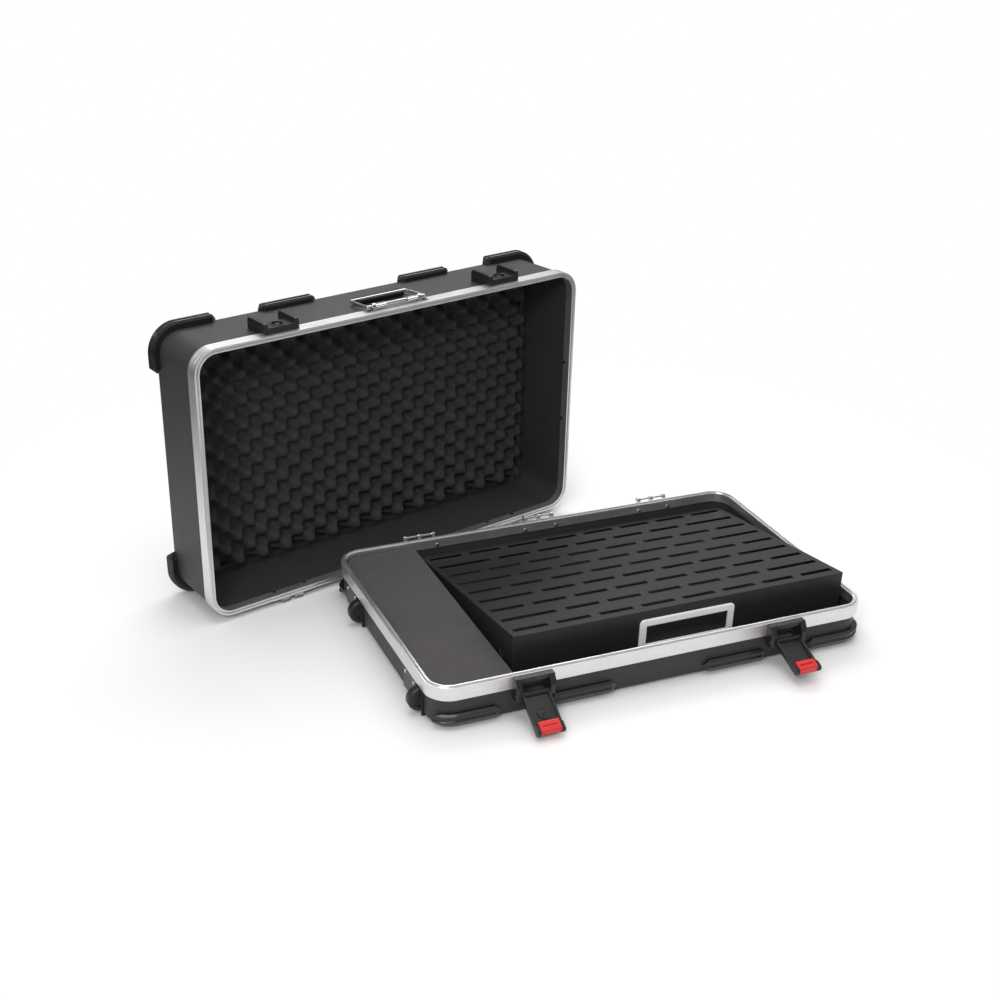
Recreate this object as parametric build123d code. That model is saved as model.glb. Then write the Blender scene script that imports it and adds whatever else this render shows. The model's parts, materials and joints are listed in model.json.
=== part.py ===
"""Flight case for a guitar pedal board: moulded tray, lift-off lid and the board itself.

Millimetres, +Z up. The origin is the centre of the tray's flat underside, +X runs along the
tray's long side and -Y is the latch side. The lid has been lifted off its hinges and stands
behind the tray on its hinge side, so it is modelled shut, in its own frame, and then placed.
"""
from build123d import *
from math import asin, atan, atan2, cos, degrees, radians, sin, tan
import os

# ---------------------------------------------------------------- driving dimensions
# Room kept in the tray round the board: the case's outline follows from these
FRONT_BAY = 43.0
BACK_GAP = 5.0
RIGHT_GAP = 13.0
FOAM_SIDE_GAP = 12.3
FOAM_BLOCK_WIDTH = 133.0

# Both halves
CORNER_RADIUS = 42.0
BASE_HEIGHT = 74.5
LID_HEIGHT = 146.0

# Moulded shells
SHELL_WALL = 3.0
SHELL_INSET = 2.5
BASE_DRAFT = 3.0
LID_DRAFT = 3.5
EDGE_RADIUS = 12.0
FIT_GAP = 0.2

# Metal rims: an outer band, a web over the shell's edge and an inner flange
RIM_BAND_HEIGHT = 23.0
RIM_THICKNESS = 2.2
RIM_WIDTH = 9.0
RIM_FLANGE_HEIGHT = 17.0
TONGUE_INSET = 3.7
TONGUE_WIDTH = 2.3
TONGUE_HEIGHT = 3.0
TONGUE_CLEARANCE = 0.4
LID_RIM_WEB = 5.5
RIM_GROOVE_DEPTH = 0.4
RIM_GROOVE_WIDTH = 1.2
RIM_GROOVE_HEIGHTS = (7.0, 15.5)

# Corner and edge bumpers
BASE_BUMPER_REACH = 5.0
BASE_BUMPER_RISE = 7.0
BASE_BUMPER_HEIGHT = 20.0
LID_BUMPER_REACH = 9.0
LID_EDGE_BUMPER_REACH = 6.0
LID_BUMPER_HEIGHT = 20.0
BUMPER_RIDGE = 3.0
BUMPER_UNDERLAP = 8.0
BUMPER_END_SLOPE = 12.0
BUMPER_POINT = 10.0
CORNER_BUMPER_FRONT_RUN = 116.0
CORNER_BUMPER_SIDE_RUN = 76.0
BUMPER_WHEEL_GAP = 31.0
EDGE_BUMPER_SETBACK = 197.0
BASE_EDGE_BUMPER_LENGTH = 121.0
LID_EDGE_BUMPER_LENGTH = 114.0
# A bumper's cross-section, as (share of its height, share of a ridge's depth below the crest)
BUMPER_PROFILE = ((0.0, 1.5), (0.27, 0.15), (0.33, 0.0), (0.39, 0.15), (0.48, 1.0), (0.68, 1.0),
                  (0.76, 0.15), (0.82, 0.0), (0.88, 0.15), (1.0, 1.5))

# Padding
FOAM_BLOCK_TOP_DROP = 6.5
FOAM_GAP = 0.3
LINER_THICKNESS = 8.0
LID_FOAM_THICKNESS = 30.0
LID_FOAM_MARGIN_X = 20.0
LID_FOAM_MARGIN_Y = 18.0

# Latches
LATCH_SETBACK = 167.0
LATCH_WIDTH = 68.0
LATCH_CHEEK = 9.7
LATCH_CHEEK_BEVEL = 3.0
LATCH_BACKPLATE = 3.0
LATCH_BOTTOM = 36.0
LATCH_TOP_DROP = 1.0
LATCH_DEPTH = 20.0
LATCH_BAR_DEPTH = 10.0
LATCH_BAR_HEIGHT = 7.5
LATCH_PIVOT_HEIGHT = 46.0
LATCH_PIVOT_REACH = 14.0
LATCH_PIN_RADIUS = 2.0
LATCH_RUNNING_GAP = 0.05
LEVER_LENGTH = 72.0
LEVER_SIDE_GAP = 0.6
LEVER_KNUCKLE_RADIUS = 4.5
LEVER_PLATE = 3.0
LEVER_RAIL_WIDTH = 3.5
LEVER_RAIL_HEIGHT = 7.5
LEVER_LUG_LENGTH = 14.0
LEVER_LUG_WIDTH = 6.0
LEVER_LUG_HEIGHT = 11.0
LEVER_LUG_OVERRUN = 2.0
LEVER_RAIL_STOP = 6.0
LEVER_PLATE_GAP = 1.0
LEVER_ANGLES = {"left": 30.0, "right": 19.0}
SLIDE_LENGTH = 20.0
SLIDE_LIP = 6.0
SLIDE_HEIGHT = 9.0
SLIDE_GROOVE_WIDTH = 3.0
SLIDE_GROOVE_DEPTH = 1.8
SLIDE_CLEARANCE = 0.4
SLIDE_TRAVEL = 5.0
BARREL_RADIUS = 10.0
BARREL_POSITION = 36.0
BARREL_PROUD = 2.0
BARREL_RING_DEPTH = 1.2
BARREL_SLOT_WIDTH = 1.6
BARREL_CAM_WIDTH = 3.0
KEEPER_WIDTH = 65.0
KEEPER_CHEEK = 7.0
KEEPER_LENGTH = 62.0
KEEPER_START = 7.5
KEEPER_HEIGHT = 22.0
KEEPER_FRONT_HEIGHT = 21.0
KEEPER_BACK_ROUND = 7.0
KEEPER_FRONT_ROUND = 4.0
KEEPER_PLATE = 3.0
KEEPER_RAMP = 8.0
KEEPER_BLOCK_LENGTH = 30.0
KEEPER_BLOCK_HEIGHT = 13.3
KEEPER_BOSS_RADIUS = 10.0
KEEPER_BOSS_DEPTH = 4.0
KEEPER_BOSS_RIM = 2.0
KEEPER_BOSS_CORE = 4.5

# Lift-off hinges
HINGE_SETBACK = 160.0
HINGE_WIDTH = 60.0
HINGE_LEAF_WIDTH = 76.0
HINGE_LEAF = 1.6
HINGE_LEAF_HEIGHT = 18.0
HINGE_LEAF_DROP = 1.0
HINGE_PIN_RADIUS = 2.0
HINGE_PIN_REACH = 6.2
HINGE_PIN_RISE = 4.0
HINGE_KNUCKLE_RADIUS = 4.3
HINGE_LUG_WIDTH = 6.0
HINGE_SLEEVE_WIDTH = 16.0
HINGE_SIDE_GAP = 2.2
HINGE_PIN_GAP = 0.3

# Rivets
RIVET_HEAD_RADIUS = 3.4
RIVET_HEAD_HEIGHT = 1.4
RIVET_SHANK_RADIUS = 2.4
RIVET_HOLE_GAP = 0.1
RIVET_DROP = 12.5
HINGE_RIVET_OFFSET = 31.0
LATCH_RIVET_OFFSET = 17.0

# Roller wheels on the tray's left side
WHEEL_RADIUS = 21.0
WHEEL_WIDTH = 16.0
WHEEL_HEIGHT = 27.0
WHEEL_PROUD = 18.0
WHEEL_FRONT_SETBACK = 64.0
WHEEL_REAR_SETBACK = 128.0
WHEEL_AXLE_RADIUS = 3.0
WHEEL_RUNNING_GAP = 0.08
WHEEL_SIDE_GAP = 2.0
WHEEL_RADIAL_GAP = 1.5
WHEEL_TREAD_RADIUS = 4.0
WHEEL_DISH_DEPTH = 1.5
HOUSING_WALL = 2.5
HOUSING_FLANGE_TAIL = 54.0
HOUSING_FLANGE_LIP = 6.0
HOUSING_FLANGE_THICKNESS = 2.0
HOUSING_FLANGE_BOTTOM = 12.0
HOUSING_FLANGE_TOP = 50.5
HOUSING_RIVET_START = 18.0
HOUSING_RIVET_PITCH = 38.0
HOUSING_OPEN_BEHIND_AXLE = 12.0

# Handles
HANDLE_PIVOT_RISE = 7.5
HANDLE_PIVOT_OFFSET = 15.0
HANDLE_ROD_RADIUS = 2.4
HANDLE_WIDTH = 118.0
HANDLE_REACH = 54.0
HANDLE_TAPER = 1.5
HANDLE_REST_DROP = 4.0
HANDLE_PLATE_OVERHANG = 5.0
HANDLE_PLATE_WIDTH = 14.0
HANDLE_PLATE = 1.5
HANDLE_EAR_SETBACK = 12.0
HANDLE_EAR_WIDTH = 6.0
HANDLE_EAR_RADIUS = 4.6
HANDLE_RUNNING_GAP = 0.06
GRIP_END_GAP = 8.1
GRIP_WIDTH = 22.0
GRIP_THICKNESS = 8.0
GRIP_TOP = 1.5
GRIP_CORNER = 3.0
SPRING_LENGTH = 22.0
SPRING_WIRE = 1.5
SPRING_GAP = 0.5

# Pedal board
BOARD_LENGTH = 618.0
BOARD_DEPTH = 416.0
BOARD_TALL_HEIGHT = 101.0
BOARD_LOW_HEIGHT = 35.0
BOARD_SHEET = 2.0
BOARD_FOOT_HEIGHT = 4.0
BOARD_FOOT_RADIUS = 9.0
BOARD_FOOT_INSET = 24.0
BOARD_RETURN = 26.0
BOARD_BACK_CORNER = 6.0
SLOT_ROWS = 9
SLOT_EDGE_MARGIN = 23.5
SLOT_WIDTH = 12.0
SLOT_LENGTH = 61.0
SLOT_PITCH = 77.0
SLOTS_IN_EVEN_ROW = 8
SLOTS_IN_ODD_ROW = 5
SLOT_ODD_END_LENGTH = 98.0
SLOT_CORNER = 2.0
CABLE_HOLE_RADIUS = 11.0
CABLE_HOLE_FROM_TALL_EDGE = 42.0
CABLE_HOLE_DROP = 42.0
BEZEL_CENTRE = 6.0
BEZEL_WIDTH = 178.0
BEZEL_HEIGHT = 59.0
BEZEL_BORDER = 12.0
BEZEL_THICKNESS = 3.0
BEZEL_CORNER = 8.0
BEZEL_BASE = 25.5
BEZEL_SEAT_GAP = 0.3

# The lid's place: turned about the vertical, then leant back on its bumpers
LID_OVERHANG = 148.0
LID_STANDOFF = 10.86
LID_YAW = 15.4

# ---------------------------------------------------------------- worked out from them
FOAM_INSET = RIM_WIDTH + RIVET_HEAD_HEIGHT + FOAM_GAP
CASE_LENGTH = FOAM_INSET + FOAM_BLOCK_WIDTH + FOAM_SIDE_GAP + BOARD_LENGTH + RIGHT_GAP + RIM_WIDTH
CASE_DEPTH = RIM_WIDTH + FRONT_BAY + BOARD_DEPTH + BACK_GAP + RIM_WIDTH
HALF_LENGTH = CASE_LENGTH / 2
HALF_DEPTH = CASE_DEPTH / 2
LATCH_OFFSET = HALF_LENGTH - LATCH_SETBACK
HINGE_OFFSET = HALF_LENGTH - HINGE_SETBACK
EDGE_BUMPER_OUTER_END = HALF_LENGTH - EDGE_BUMPER_SETBACK
WHEEL_POSITIONS = {"front": WHEEL_FRONT_SETBACK - HALF_DEPTH, "rear": HALF_DEPTH - WHEEL_REAR_SETBACK}
SHELL_EDGE = BASE_HEIGHT - RIM_THICKNESS
BASE_DRAFT_ANGLE = degrees(atan(BASE_DRAFT / SHELL_EDGE))
LID_DRAFT_ANGLE = degrees(atan(LID_DRAFT / LID_HEIGHT))
LINER_TOP = SHELL_WALL + LINER_THICKNESS
BOARD_FLOOR = LINER_TOP + FOAM_GAP
BOARD_CENTRE_X = HALF_LENGTH - RIM_WIDTH - RIGHT_GAP - BOARD_LENGTH / 2
BOARD_FRONT_Y = RIM_WIDTH + FRONT_BAY - HALF_DEPTH
BOARD_SLOPE = degrees(atan((BOARD_TALL_HEIGHT - BOARD_LOW_HEIGHT) / BOARD_DEPTH))
HANDLE_PLATE_LENGTH = HANDLE_WIDTH + 2 * HANDLE_PLATE_OVERHANG
HANDLE_EAR_OFFSET = HANDLE_WIDTH / 2 - HANDLE_EAR_SETBACK
GRIP_LENGTH = HANDLE_WIDTH - 2 * (HANDLE_TAPER + HANDLE_ROD_RADIUS + GRIP_END_GAP)
HANDLE_TILT = degrees(asin(HANDLE_REST_DROP / HANDLE_REACH))
LEVER_WIDTH = LATCH_WIDTH - 2 * LATCH_CHEEK - 2 * LEVER_SIDE_GAP
HINGE_REACH = HINGE_PIN_REACH + HINGE_KNUCKLE_RADIUS
BUMPER_CONTACT = LID_HEIGHT - BUMPER_PROFILE[2][0] * LID_BUMPER_HEIGHT
LID_LEAN = degrees(atan2(HINGE_REACH - LID_BUMPER_REACH, BUMPER_CONTACT - HINGE_PIN_RISE))
LID_LIFT = ((HALF_DEPTH + HINGE_PIN_REACH) * cos(radians(LID_LEAN))
            + HINGE_PIN_RISE * sin(radians(LID_LEAN)) + HINGE_KNUCKLE_RADIUS)
LID_X = LID_OVERHANG - HALF_LENGTH
LID_Y = (HALF_DEPTH + BASE_BUMPER_REACH + LID_STANDOFF
         + tan(radians(LID_YAW)) * (LID_X + HALF_LENGTH + BASE_BUMPER_REACH))
LID_PLACE = Pos(LID_X, LID_Y, LID_LIFT) * Rot(0, 0, LID_YAW) * Rot(-90 - LID_LEAN, 0, 0)
FOAM_BLOCK_END = -HALF_LENGTH + FOAM_INSET + FOAM_BLOCK_WIDTH
SIDES = {"left": -1, "right": 1}
ENDS = {"front": -1, "back": 1}
HINGES = {"left": -HINGE_OFFSET, "centre": 0.0, "right": HINGE_OFFSET}
LATCH_INNER = LATCH_WIDTH / 2 - LATCH_CHEEK
KEEPER_INNER = KEEPER_WIDTH / 2 - KEEPER_CHEEK


# ---------------------------------------------------------------- shared shapes
def outline(inset):
    """The case's rounded outline, drawn in by inset."""
    return RectangleRounded(CASE_LENGTH - 2 * inset, CASE_DEPTH - 2 * inset, CORNER_RADIUS - inset)


def ring(outer_inset, inner_inset, low, high):
    """A band that follows the outline, between two insets and two heights."""
    return extrude(Pos(0, 0, low) * (outline(outer_inset) - outline(inner_inset)), high - low)


def slab(inset, low, high, taper):
    """A solid of the outline that grows or shrinks with height at the taper angle."""
    return extrude(Pos(0, 0, low) * outline(inset), high - low, taper=taper)


def block(x_span, y_span, z_span):
    """A box between pairs of coordinates."""
    sizes = [max(span) - min(span) for span in (x_span, y_span, z_span)]
    middles = [(max(span) + min(span)) / 2 for span in (x_span, y_span, z_span)]
    return Pos(*middles) * Box(*sizes)


def rod(radius, start, end):
    """A round bar between two points."""
    run = Vector(*end) - Vector(*start)
    return extrude(Plane(origin=start, z_dir=run) * Circle(radius), run.length)


def side_profile(points, half_width):
    """A plate of (y, z) points, extruded along X to half_width each way."""
    face = Plane.YZ * make_face(Polyline(*points, close=True))
    return extrude(face, half_width, both=True)


def rivet(grip):
    """A rivet with its head standing on z = 0 and its tail closed under the grip."""
    head = Cylinder(RIVET_HEAD_RADIUS, RIVET_HEAD_HEIGHT, align=(Align.CENTER, Align.CENTER, Align.MIN))
    head = fillet(head.edges().group_by(Axis.Z)[-1], RIVET_HEAD_HEIGHT * 0.8)
    shank = Pos(0, 0, -grip) * Cylinder(
        RIVET_SHANK_RADIUS, grip, align=(Align.CENTER, Align.CENTER, Align.MIN))
    tail = Pos(0, 0, -grip) * Cylinder(
        RIVET_HEAD_RADIUS, RIVET_HEAD_HEIGHT, align=(Align.CENTER, Align.CENTER, Align.MAX))
    return head + shank + tail


def rivet_hole(grip):
    """The clearance that a rivet of this grip needs through what it holds."""
    reach = grip + 2 * RIVET_HEAD_HEIGHT
    return Pos(0, 0, -grip / 2) * Cylinder(RIVET_SHANK_RADIUS + RIVET_HOLE_GAP, reach)


def place_all(places, solid):
    """One solid repeated at several places, as a flat list."""
    return [place * solid for place in places]


def cut_all(solid, tools):
    """The solid with every tool cut away."""
    for tool in tools:
        solid = solid - tool
    return solid


# ---------------------------------------------------------------- rivet places
RIM_GRIP = HINGE_LEAF + RIM_WIDTH
LATCH_GRIP = LATCH_BACKPLATE + RIM_WIDTH


def rim_rivet_places(height, reach, offsets, end):
    """Frames on the outside of a rim, with z pointing out of the case."""
    face = end * (HALF_DEPTH + reach)
    return [Location(Plane(origin=(x, face, height), x_dir=(1, 0, 0), z_dir=(0, end, 0)))
            for x in offsets]


def hinge_rivet_offsets():
    """Where along the rim each hinge is riveted."""
    return [x + side * HINGE_RIVET_OFFSET for x in HINGES.values() for side in SIDES.values()]


def latch_rivet_offsets():
    """Where along the rim each latch is riveted."""
    return [side * LATCH_OFFSET + end * LATCH_RIVET_OFFSET
            for side in SIDES.values() for end in SIDES.values()]


def base_rim_rivets():
    """Places and grips of the rivets through the tray's rim."""
    height = BASE_HEIGHT - RIVET_DROP
    hinge = rim_rivet_places(height, HINGE_LEAF, hinge_rivet_offsets(), ENDS["back"])
    latch = rim_rivet_places(height, LATCH_BACKPLATE, latch_rivet_offsets(), ENDS["front"])
    return hinge, latch


def lid_rim_rivets():
    """Places of the rivets through the lid's rim, in the shut lid's frame."""
    return rim_rivet_places(RIVET_DROP, HINGE_LEAF, hinge_rivet_offsets(), ENDS["back"])


# ---------------------------------------------------------------- wheels and their housings
WHEEL_AXIS_X = -HALF_LENGTH + WHEEL_RADIUS - WHEEL_PROUD
POCKET_HALF = WHEEL_WIDTH / 2 + WHEEL_SIDE_GAP
POCKET_RADIUS = WHEEL_RADIUS + WHEEL_RADIAL_GAP
POCKET_BACK = WHEEL_AXIS_X + POCKET_RADIUS
POCKET_TOP = WHEEL_HEIGHT + POCKET_RADIUS
FLANGE_OUTER_X = -HALF_LENGTH + SHELL_INSET - HOUSING_FLANGE_THICKNESS
HOUSING_RIVET_HEIGHT = HOUSING_FLANGE_TOP - 2 * RIVET_HEAD_RADIUS


def base_wall_inset(height):
    """How far the tray's outer wall stands inside the outline at a height."""
    return SHELL_INSET + BASE_DRAFT * (1 - height / SHELL_EDGE)


HOUSING_GRIP = (base_wall_inset(HOUSING_RIVET_HEIGHT - RIVET_HEAD_RADIUS) + SHELL_WALL
                - FLANGE_OUTER_X - HALF_LENGTH)


def housing_body(y_middle, grow):
    """The well's block behind the rim, grown all round by a clearance."""
    half = POCKET_HALF + HOUSING_WALL + grow
    return block((-HALF_LENGTH + RIM_THICKNESS + FIT_GAP, POCKET_BACK + HOUSING_WALL + grow),
                 (y_middle - half, y_middle + half), (0, POCKET_TOP + HOUSING_WALL + grow))


def housing_flange(y_middle):
    """The riveted flange, which runs back along the side from the wheel."""
    plate = block((FLANGE_OUTER_X, FLANGE_OUTER_X + HOUSING_FLANGE_THICKNESS + BASE_DRAFT),
                  (y_middle - POCKET_HALF - HOUSING_FLANGE_LIP,
                   y_middle + POCKET_HALF + HOUSING_FLANGE_TAIL),
                  (HOUSING_FLANGE_BOTTOM, HOUSING_FLANGE_TOP))
    return plate - base_outer()


def housing_rivet_places(y_middle):
    """Frames on the flange's outer face, behind the wheel."""
    first = y_middle + HOUSING_RIVET_START
    return [Location(Plane(origin=(FLANGE_OUTER_X, first + step, HOUSING_RIVET_HEIGHT),
                           x_dir=(0, 1, 0), z_dir=(-1, 0, 0))) for step in (0.0, HOUSING_RIVET_PITCH)]


def wheel_housing(y_middle):
    """A moulded well, open outwards and below, with a riveted flange."""
    half = (y_middle - POCKET_HALF, y_middle + POCKET_HALF)
    pocket = rod(POCKET_RADIUS, (WHEEL_AXIS_X, half[0], WHEEL_HEIGHT), (WHEEL_AXIS_X, half[1], WHEEL_HEIGHT))
    mouth = block((-CASE_LENGTH, WHEEL_AXIS_X), half, (-1, HOUSING_FLANGE_TOP + 1))
    below = block((-CASE_LENGTH, WHEEL_AXIS_X + HOUSING_OPEN_BEHIND_AXLE), half, (-1, WHEEL_HEIGHT))
    body = housing_body(y_middle, 0) + housing_flange(y_middle)
    return cut_all(body, [pocket, mouth, below, wheel_axle(y_middle)]
                   + place_all(housing_rivet_places(y_middle), rivet_hole(HOUSING_GRIP)))


def wheel_axle(y_middle):
    """The steel axle, held by both sides of the well."""
    half = POCKET_HALF + HOUSING_WALL
    return rod(WHEEL_AXLE_RADIUS, (WHEEL_AXIS_X, y_middle - half, WHEEL_HEIGHT),
               (WHEEL_AXIS_X, y_middle + half, WHEEL_HEIGHT))


def wheel(y_middle):
    """A roller with a rounded tread, a dished face and a running bore."""
    half = WHEEL_WIDTH / 2
    start = (WHEEL_AXIS_X, y_middle - half, WHEEL_HEIGHT)
    end = (WHEEL_AXIS_X, y_middle + half, WHEEL_HEIGHT)
    disc = rod(WHEEL_RADIUS, start, end)
    disc = fillet(disc.edges(), WHEEL_TREAD_RADIUS)
    for near, far in ((start, end), (end, start)):
        depth = Vector(*far) - Vector(*near)
        floor = Vector(*near) + depth * (WHEEL_DISH_DEPTH / WHEEL_WIDTH)
        dish = rod(WHEEL_RADIUS - 2 * WHEEL_TREAD_RADIUS, near, tuple(floor))
        hub = rod(2.5 * WHEEL_AXLE_RADIUS, near, tuple(floor))
        disc = disc - (dish - hub)
    return disc - rod(WHEEL_AXLE_RADIUS + WHEEL_RUNNING_GAP, start, end)


# ---------------------------------------------------------------- tray
def base_outer():
    """The tray's outer form, solid, up to the edge under the rim."""
    solid = slab(base_wall_inset(0), 0, SHELL_EDGE, -BASE_DRAFT_ANGLE)
    return fillet(solid.edges().group_by(Axis.Z)[0], EDGE_RADIUS)


def base_shell():
    """The moulded tray, cut for the wheel wells and the rivets."""
    hollow = slab(base_wall_inset(SHELL_WALL) + SHELL_WALL, SHELL_WALL, BASE_HEIGHT, -BASE_DRAFT_ANGLE)
    hollow = fillet(hollow.edges().group_by(Axis.Z)[0], EDGE_RADIUS - SHELL_WALL)
    hinge, latch = base_rim_rivets()
    tools = place_all(hinge, rivet_hole(RIM_GRIP)) + place_all(latch, rivet_hole(LATCH_GRIP))
    for y_middle in WHEEL_POSITIONS.values():
        tools.append(housing_body(y_middle, FIT_GAP))
        tools += place_all(housing_rivet_places(y_middle), rivet_hole(HOUSING_GRIP))
    return cut_all(base_outer() - hollow, tools)


def base_rim():
    """The tray's rim: band, web, inner flange and the tongue that enters the lid's groove."""
    band = ring(0, RIM_THICKNESS, BASE_HEIGHT - RIM_BAND_HEIGHT, BASE_HEIGHT)
    web = ring(0, RIM_WIDTH, BASE_HEIGHT - RIM_THICKNESS, BASE_HEIGHT)
    flange = ring(RIM_WIDTH - RIM_THICKNESS, RIM_WIDTH, BASE_HEIGHT - RIM_FLANGE_HEIGHT, BASE_HEIGHT)
    tongue = ring(TONGUE_INSET, TONGUE_INSET + TONGUE_WIDTH, BASE_HEIGHT, BASE_HEIGHT + TONGUE_HEIGHT)
    hinge, latch = base_rim_rivets()
    tools = place_all(hinge, rivet_hole(RIM_GRIP)) + place_all(latch, rivet_hole(LATCH_GRIP))
    return cut_all(band + web + flange + tongue, tools)


def foam_space(low, high):
    """The room inside the rim's flange and its rivets, less the gap that soft parts keep."""
    solid = slab(FOAM_INSET, low, high, 0)
    return fillet(solid.edges().group_by(Axis.Z)[0], min(EDGE_RADIUS - SHELL_WALL, (high - low) * 0.9))


def foam_block():
    """The foam block that fills the tray's left end, notched round the wheel wells."""
    space = foam_space(SHELL_WALL + FOAM_GAP, BASE_HEIGHT - FOAM_BLOCK_TOP_DROP)
    end = block((-HALF_LENGTH, FOAM_BLOCK_END), (-CASE_DEPTH, CASE_DEPTH), (0, BASE_HEIGHT))
    return cut_all(space & end, [housing_body(y, FOAM_GAP) for y in WHEEL_POSITIONS.values()])


def foam_liner():
    """The thin foam mat that the board stands on, beside the foam block."""
    space = foam_space(SHELL_WALL + FOAM_GAP, LINER_TOP)
    return space & block((FOAM_BLOCK_END + FOAM_GAP, HALF_LENGTH), (-CASE_DEPTH, CASE_DEPTH),
                         (0, BASE_HEIGHT))


# ---------------------------------------------------------------- bumpers
def bumper_belt(proud, rise, height, wall_inset, outer_solid):
    """A belt of two ridges round a shell, from a rise above its closed edge on z = 0."""
    points = [(rise + share * height, proud - drop * BUMPER_RIDGE) for share, drop in BUMPER_PROFILE]
    belt = None
    for (low, near), (high, far) in zip(points[:-1], points[1:]):
        layer = slab(-near, low, high, degrees(atan((near - far) / (high - low))))
        belt = layer if belt is None else belt + layer
    return belt - slab(wall_inset + BUMPER_UNDERLAP, rise, rise + height, 0) - outer_solid


def pointed_span(start, end, rise, height, points_at_end):
    """A (run, z) outline whose start, and end if asked, close to a point at mid height."""
    low, middle, high = rise, rise + height / 2, rise + height
    closing = ([(end - BUMPER_POINT, low), (end, middle), (end - BUMPER_POINT, high)]
               if points_at_end else [(end, low), (end, high)])
    return [(start, middle), (start + BUMPER_POINT, low)] + closing + [(start + BUMPER_POINT, high)]


def edge_bumper_mask(side, end, proud, rise, height, length):
    """The room of one edge bumper: ends pointed in elevation, sloped back in plan."""
    inner, outer = EDGE_BUMPER_OUTER_END - length, EDGE_BUMPER_OUTER_END
    wall, far = HALF_DEPTH - SHELL_INSET, HALF_DEPTH + proud + 1
    plan_points = [(inner, 0), (inner, wall), (inner + BUMPER_END_SLOPE, far),
                   (outer - BUMPER_END_SLOPE, far), (outer, wall), (outer, 0)]
    plan = make_face(Polyline(*[(side * x, end * y, rise) for x, y in plan_points], close=True))
    span = [(side * x, z) for x, z in pointed_span(inner, outer, rise, height, True)]
    elevation = Plane.XZ * make_face(Polyline(*span, close=True))
    return extrude(plan, height, dir=(0, 0, 1)) & extrude(elevation, CASE_DEPTH, both=True)


def corner_bumper_mask(side, end, proud, rise, height, side_run):
    """The room of one corner bumper, closed to a point at the end of each run."""
    x_start, y_start = HALF_LENGTH - CORNER_BUMPER_FRONT_RUN, HALF_DEPTH - side_run
    x_far, y_far = HALF_LENGTH + proud + 1, HALF_DEPTH + proud + 1
    plan_points = [(x_start, 0), (x_start, HALF_DEPTH - SHELL_INSET), (x_start + BUMPER_END_SLOPE, y_far),
                   (x_far, y_far), (x_far, y_start + BUMPER_END_SLOPE), (HALF_LENGTH - SHELL_INSET, y_start),
                   (x_start + BUMPER_END_SLOPE, y_start), (x_start + BUMPER_END_SLOPE, 0)]
    plan = make_face(Polyline(*[(side * x, end * y, rise) for x, y in plan_points], close=True))
    x_span = [(side * x, z) for x, z in pointed_span(x_start, x_far, rise, height, False)]
    y_span = [(end * y, z) for y, z in pointed_span(y_start, y_far, rise, height, False)]
    along_x = extrude(Plane.XZ * make_face(Polyline(*x_span, close=True)), CASE_DEPTH, both=True)
    along_y = extrude(Plane.YZ * make_face(Polyline(*y_span, close=True)), CASE_LENGTH, both=True)
    return extrude(plan, height, dir=(0, 0, 1)) & along_x & along_y


def bumpers(prefix, corner_belt, edge_belt, sizes, edge_length, left_runs):
    """Four corner bumpers and four edge bumpers, cut from their belts."""
    pieces = {}
    corner_reach, edge_reach, rise, height = sizes
    for end_name, end in ENDS.items():
        for side_name, side in SIDES.items():
            run = left_runs[end_name] if side_name == "left" else CORNER_BUMPER_SIDE_RUN
            corner = corner_belt & corner_bumper_mask(side, end, corner_reach, rise, height, run)
            edge = edge_belt & edge_bumper_mask(side, end, edge_reach, rise, height, edge_length)
            pieces[f"{prefix}_corner_bumper_{end_name}_{side_name}"] = corner
            pieces[f"{prefix}_edge_bumper_{end_name}_{side_name}"] = edge
    return pieces


def base_bumpers():
    """The tray's bumpers, the left ones shortened to clear the wheels."""
    belt = bumper_belt(BASE_BUMPER_REACH, BASE_BUMPER_RISE, BASE_BUMPER_HEIGHT, base_wall_inset(0),
                       base_outer())
    lip = POCKET_HALF + HOUSING_FLANGE_LIP + BUMPER_WHEEL_GAP
    tail = POCKET_HALF + HOUSING_FLANGE_TAIL + BUMPER_WHEEL_GAP
    runs = {"front": WHEEL_FRONT_SETBACK - lip, "back": WHEEL_REAR_SETBACK - tail}
    sizes = (BASE_BUMPER_REACH, BASE_BUMPER_REACH, BASE_BUMPER_RISE, BASE_BUMPER_HEIGHT)
    return bumpers("base", belt, belt, sizes, BASE_EDGE_BUMPER_LENGTH, runs)


def lid_bumpers():
    """The lid's bumpers, drawn from its top panel down and turned over."""
    form = turned_over(lid_outer())
    corner_belt, edge_belt = [bumper_belt(reach, 0, LID_BUMPER_HEIGHT, SHELL_INSET + LID_DRAFT, form)
                              for reach in (LID_BUMPER_REACH, LID_EDGE_BUMPER_REACH)]
    runs = {end: CORNER_BUMPER_SIDE_RUN for end in ENDS}
    sizes = (LID_BUMPER_REACH, LID_EDGE_BUMPER_REACH, 0, LID_BUMPER_HEIGHT)
    pieces = bumpers("lid", corner_belt, edge_belt, sizes, LID_EDGE_BUMPER_LENGTH, runs)
    return {name: turned_over(piece) for name, piece in pieces.items()}


def turned_over(solid):
    """The solid reflected between the lid's top panel and its rim plane."""
    return Pos(0, 0, LID_HEIGHT) * mirror(solid, Plane.XY)


# ---------------------------------------------------------------- latches on the tray
PIVOT_Y = -HALF_DEPTH - LATCH_PIVOT_REACH
LATCH_TOP = BASE_HEIGHT - LATCH_TOP_DROP


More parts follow.
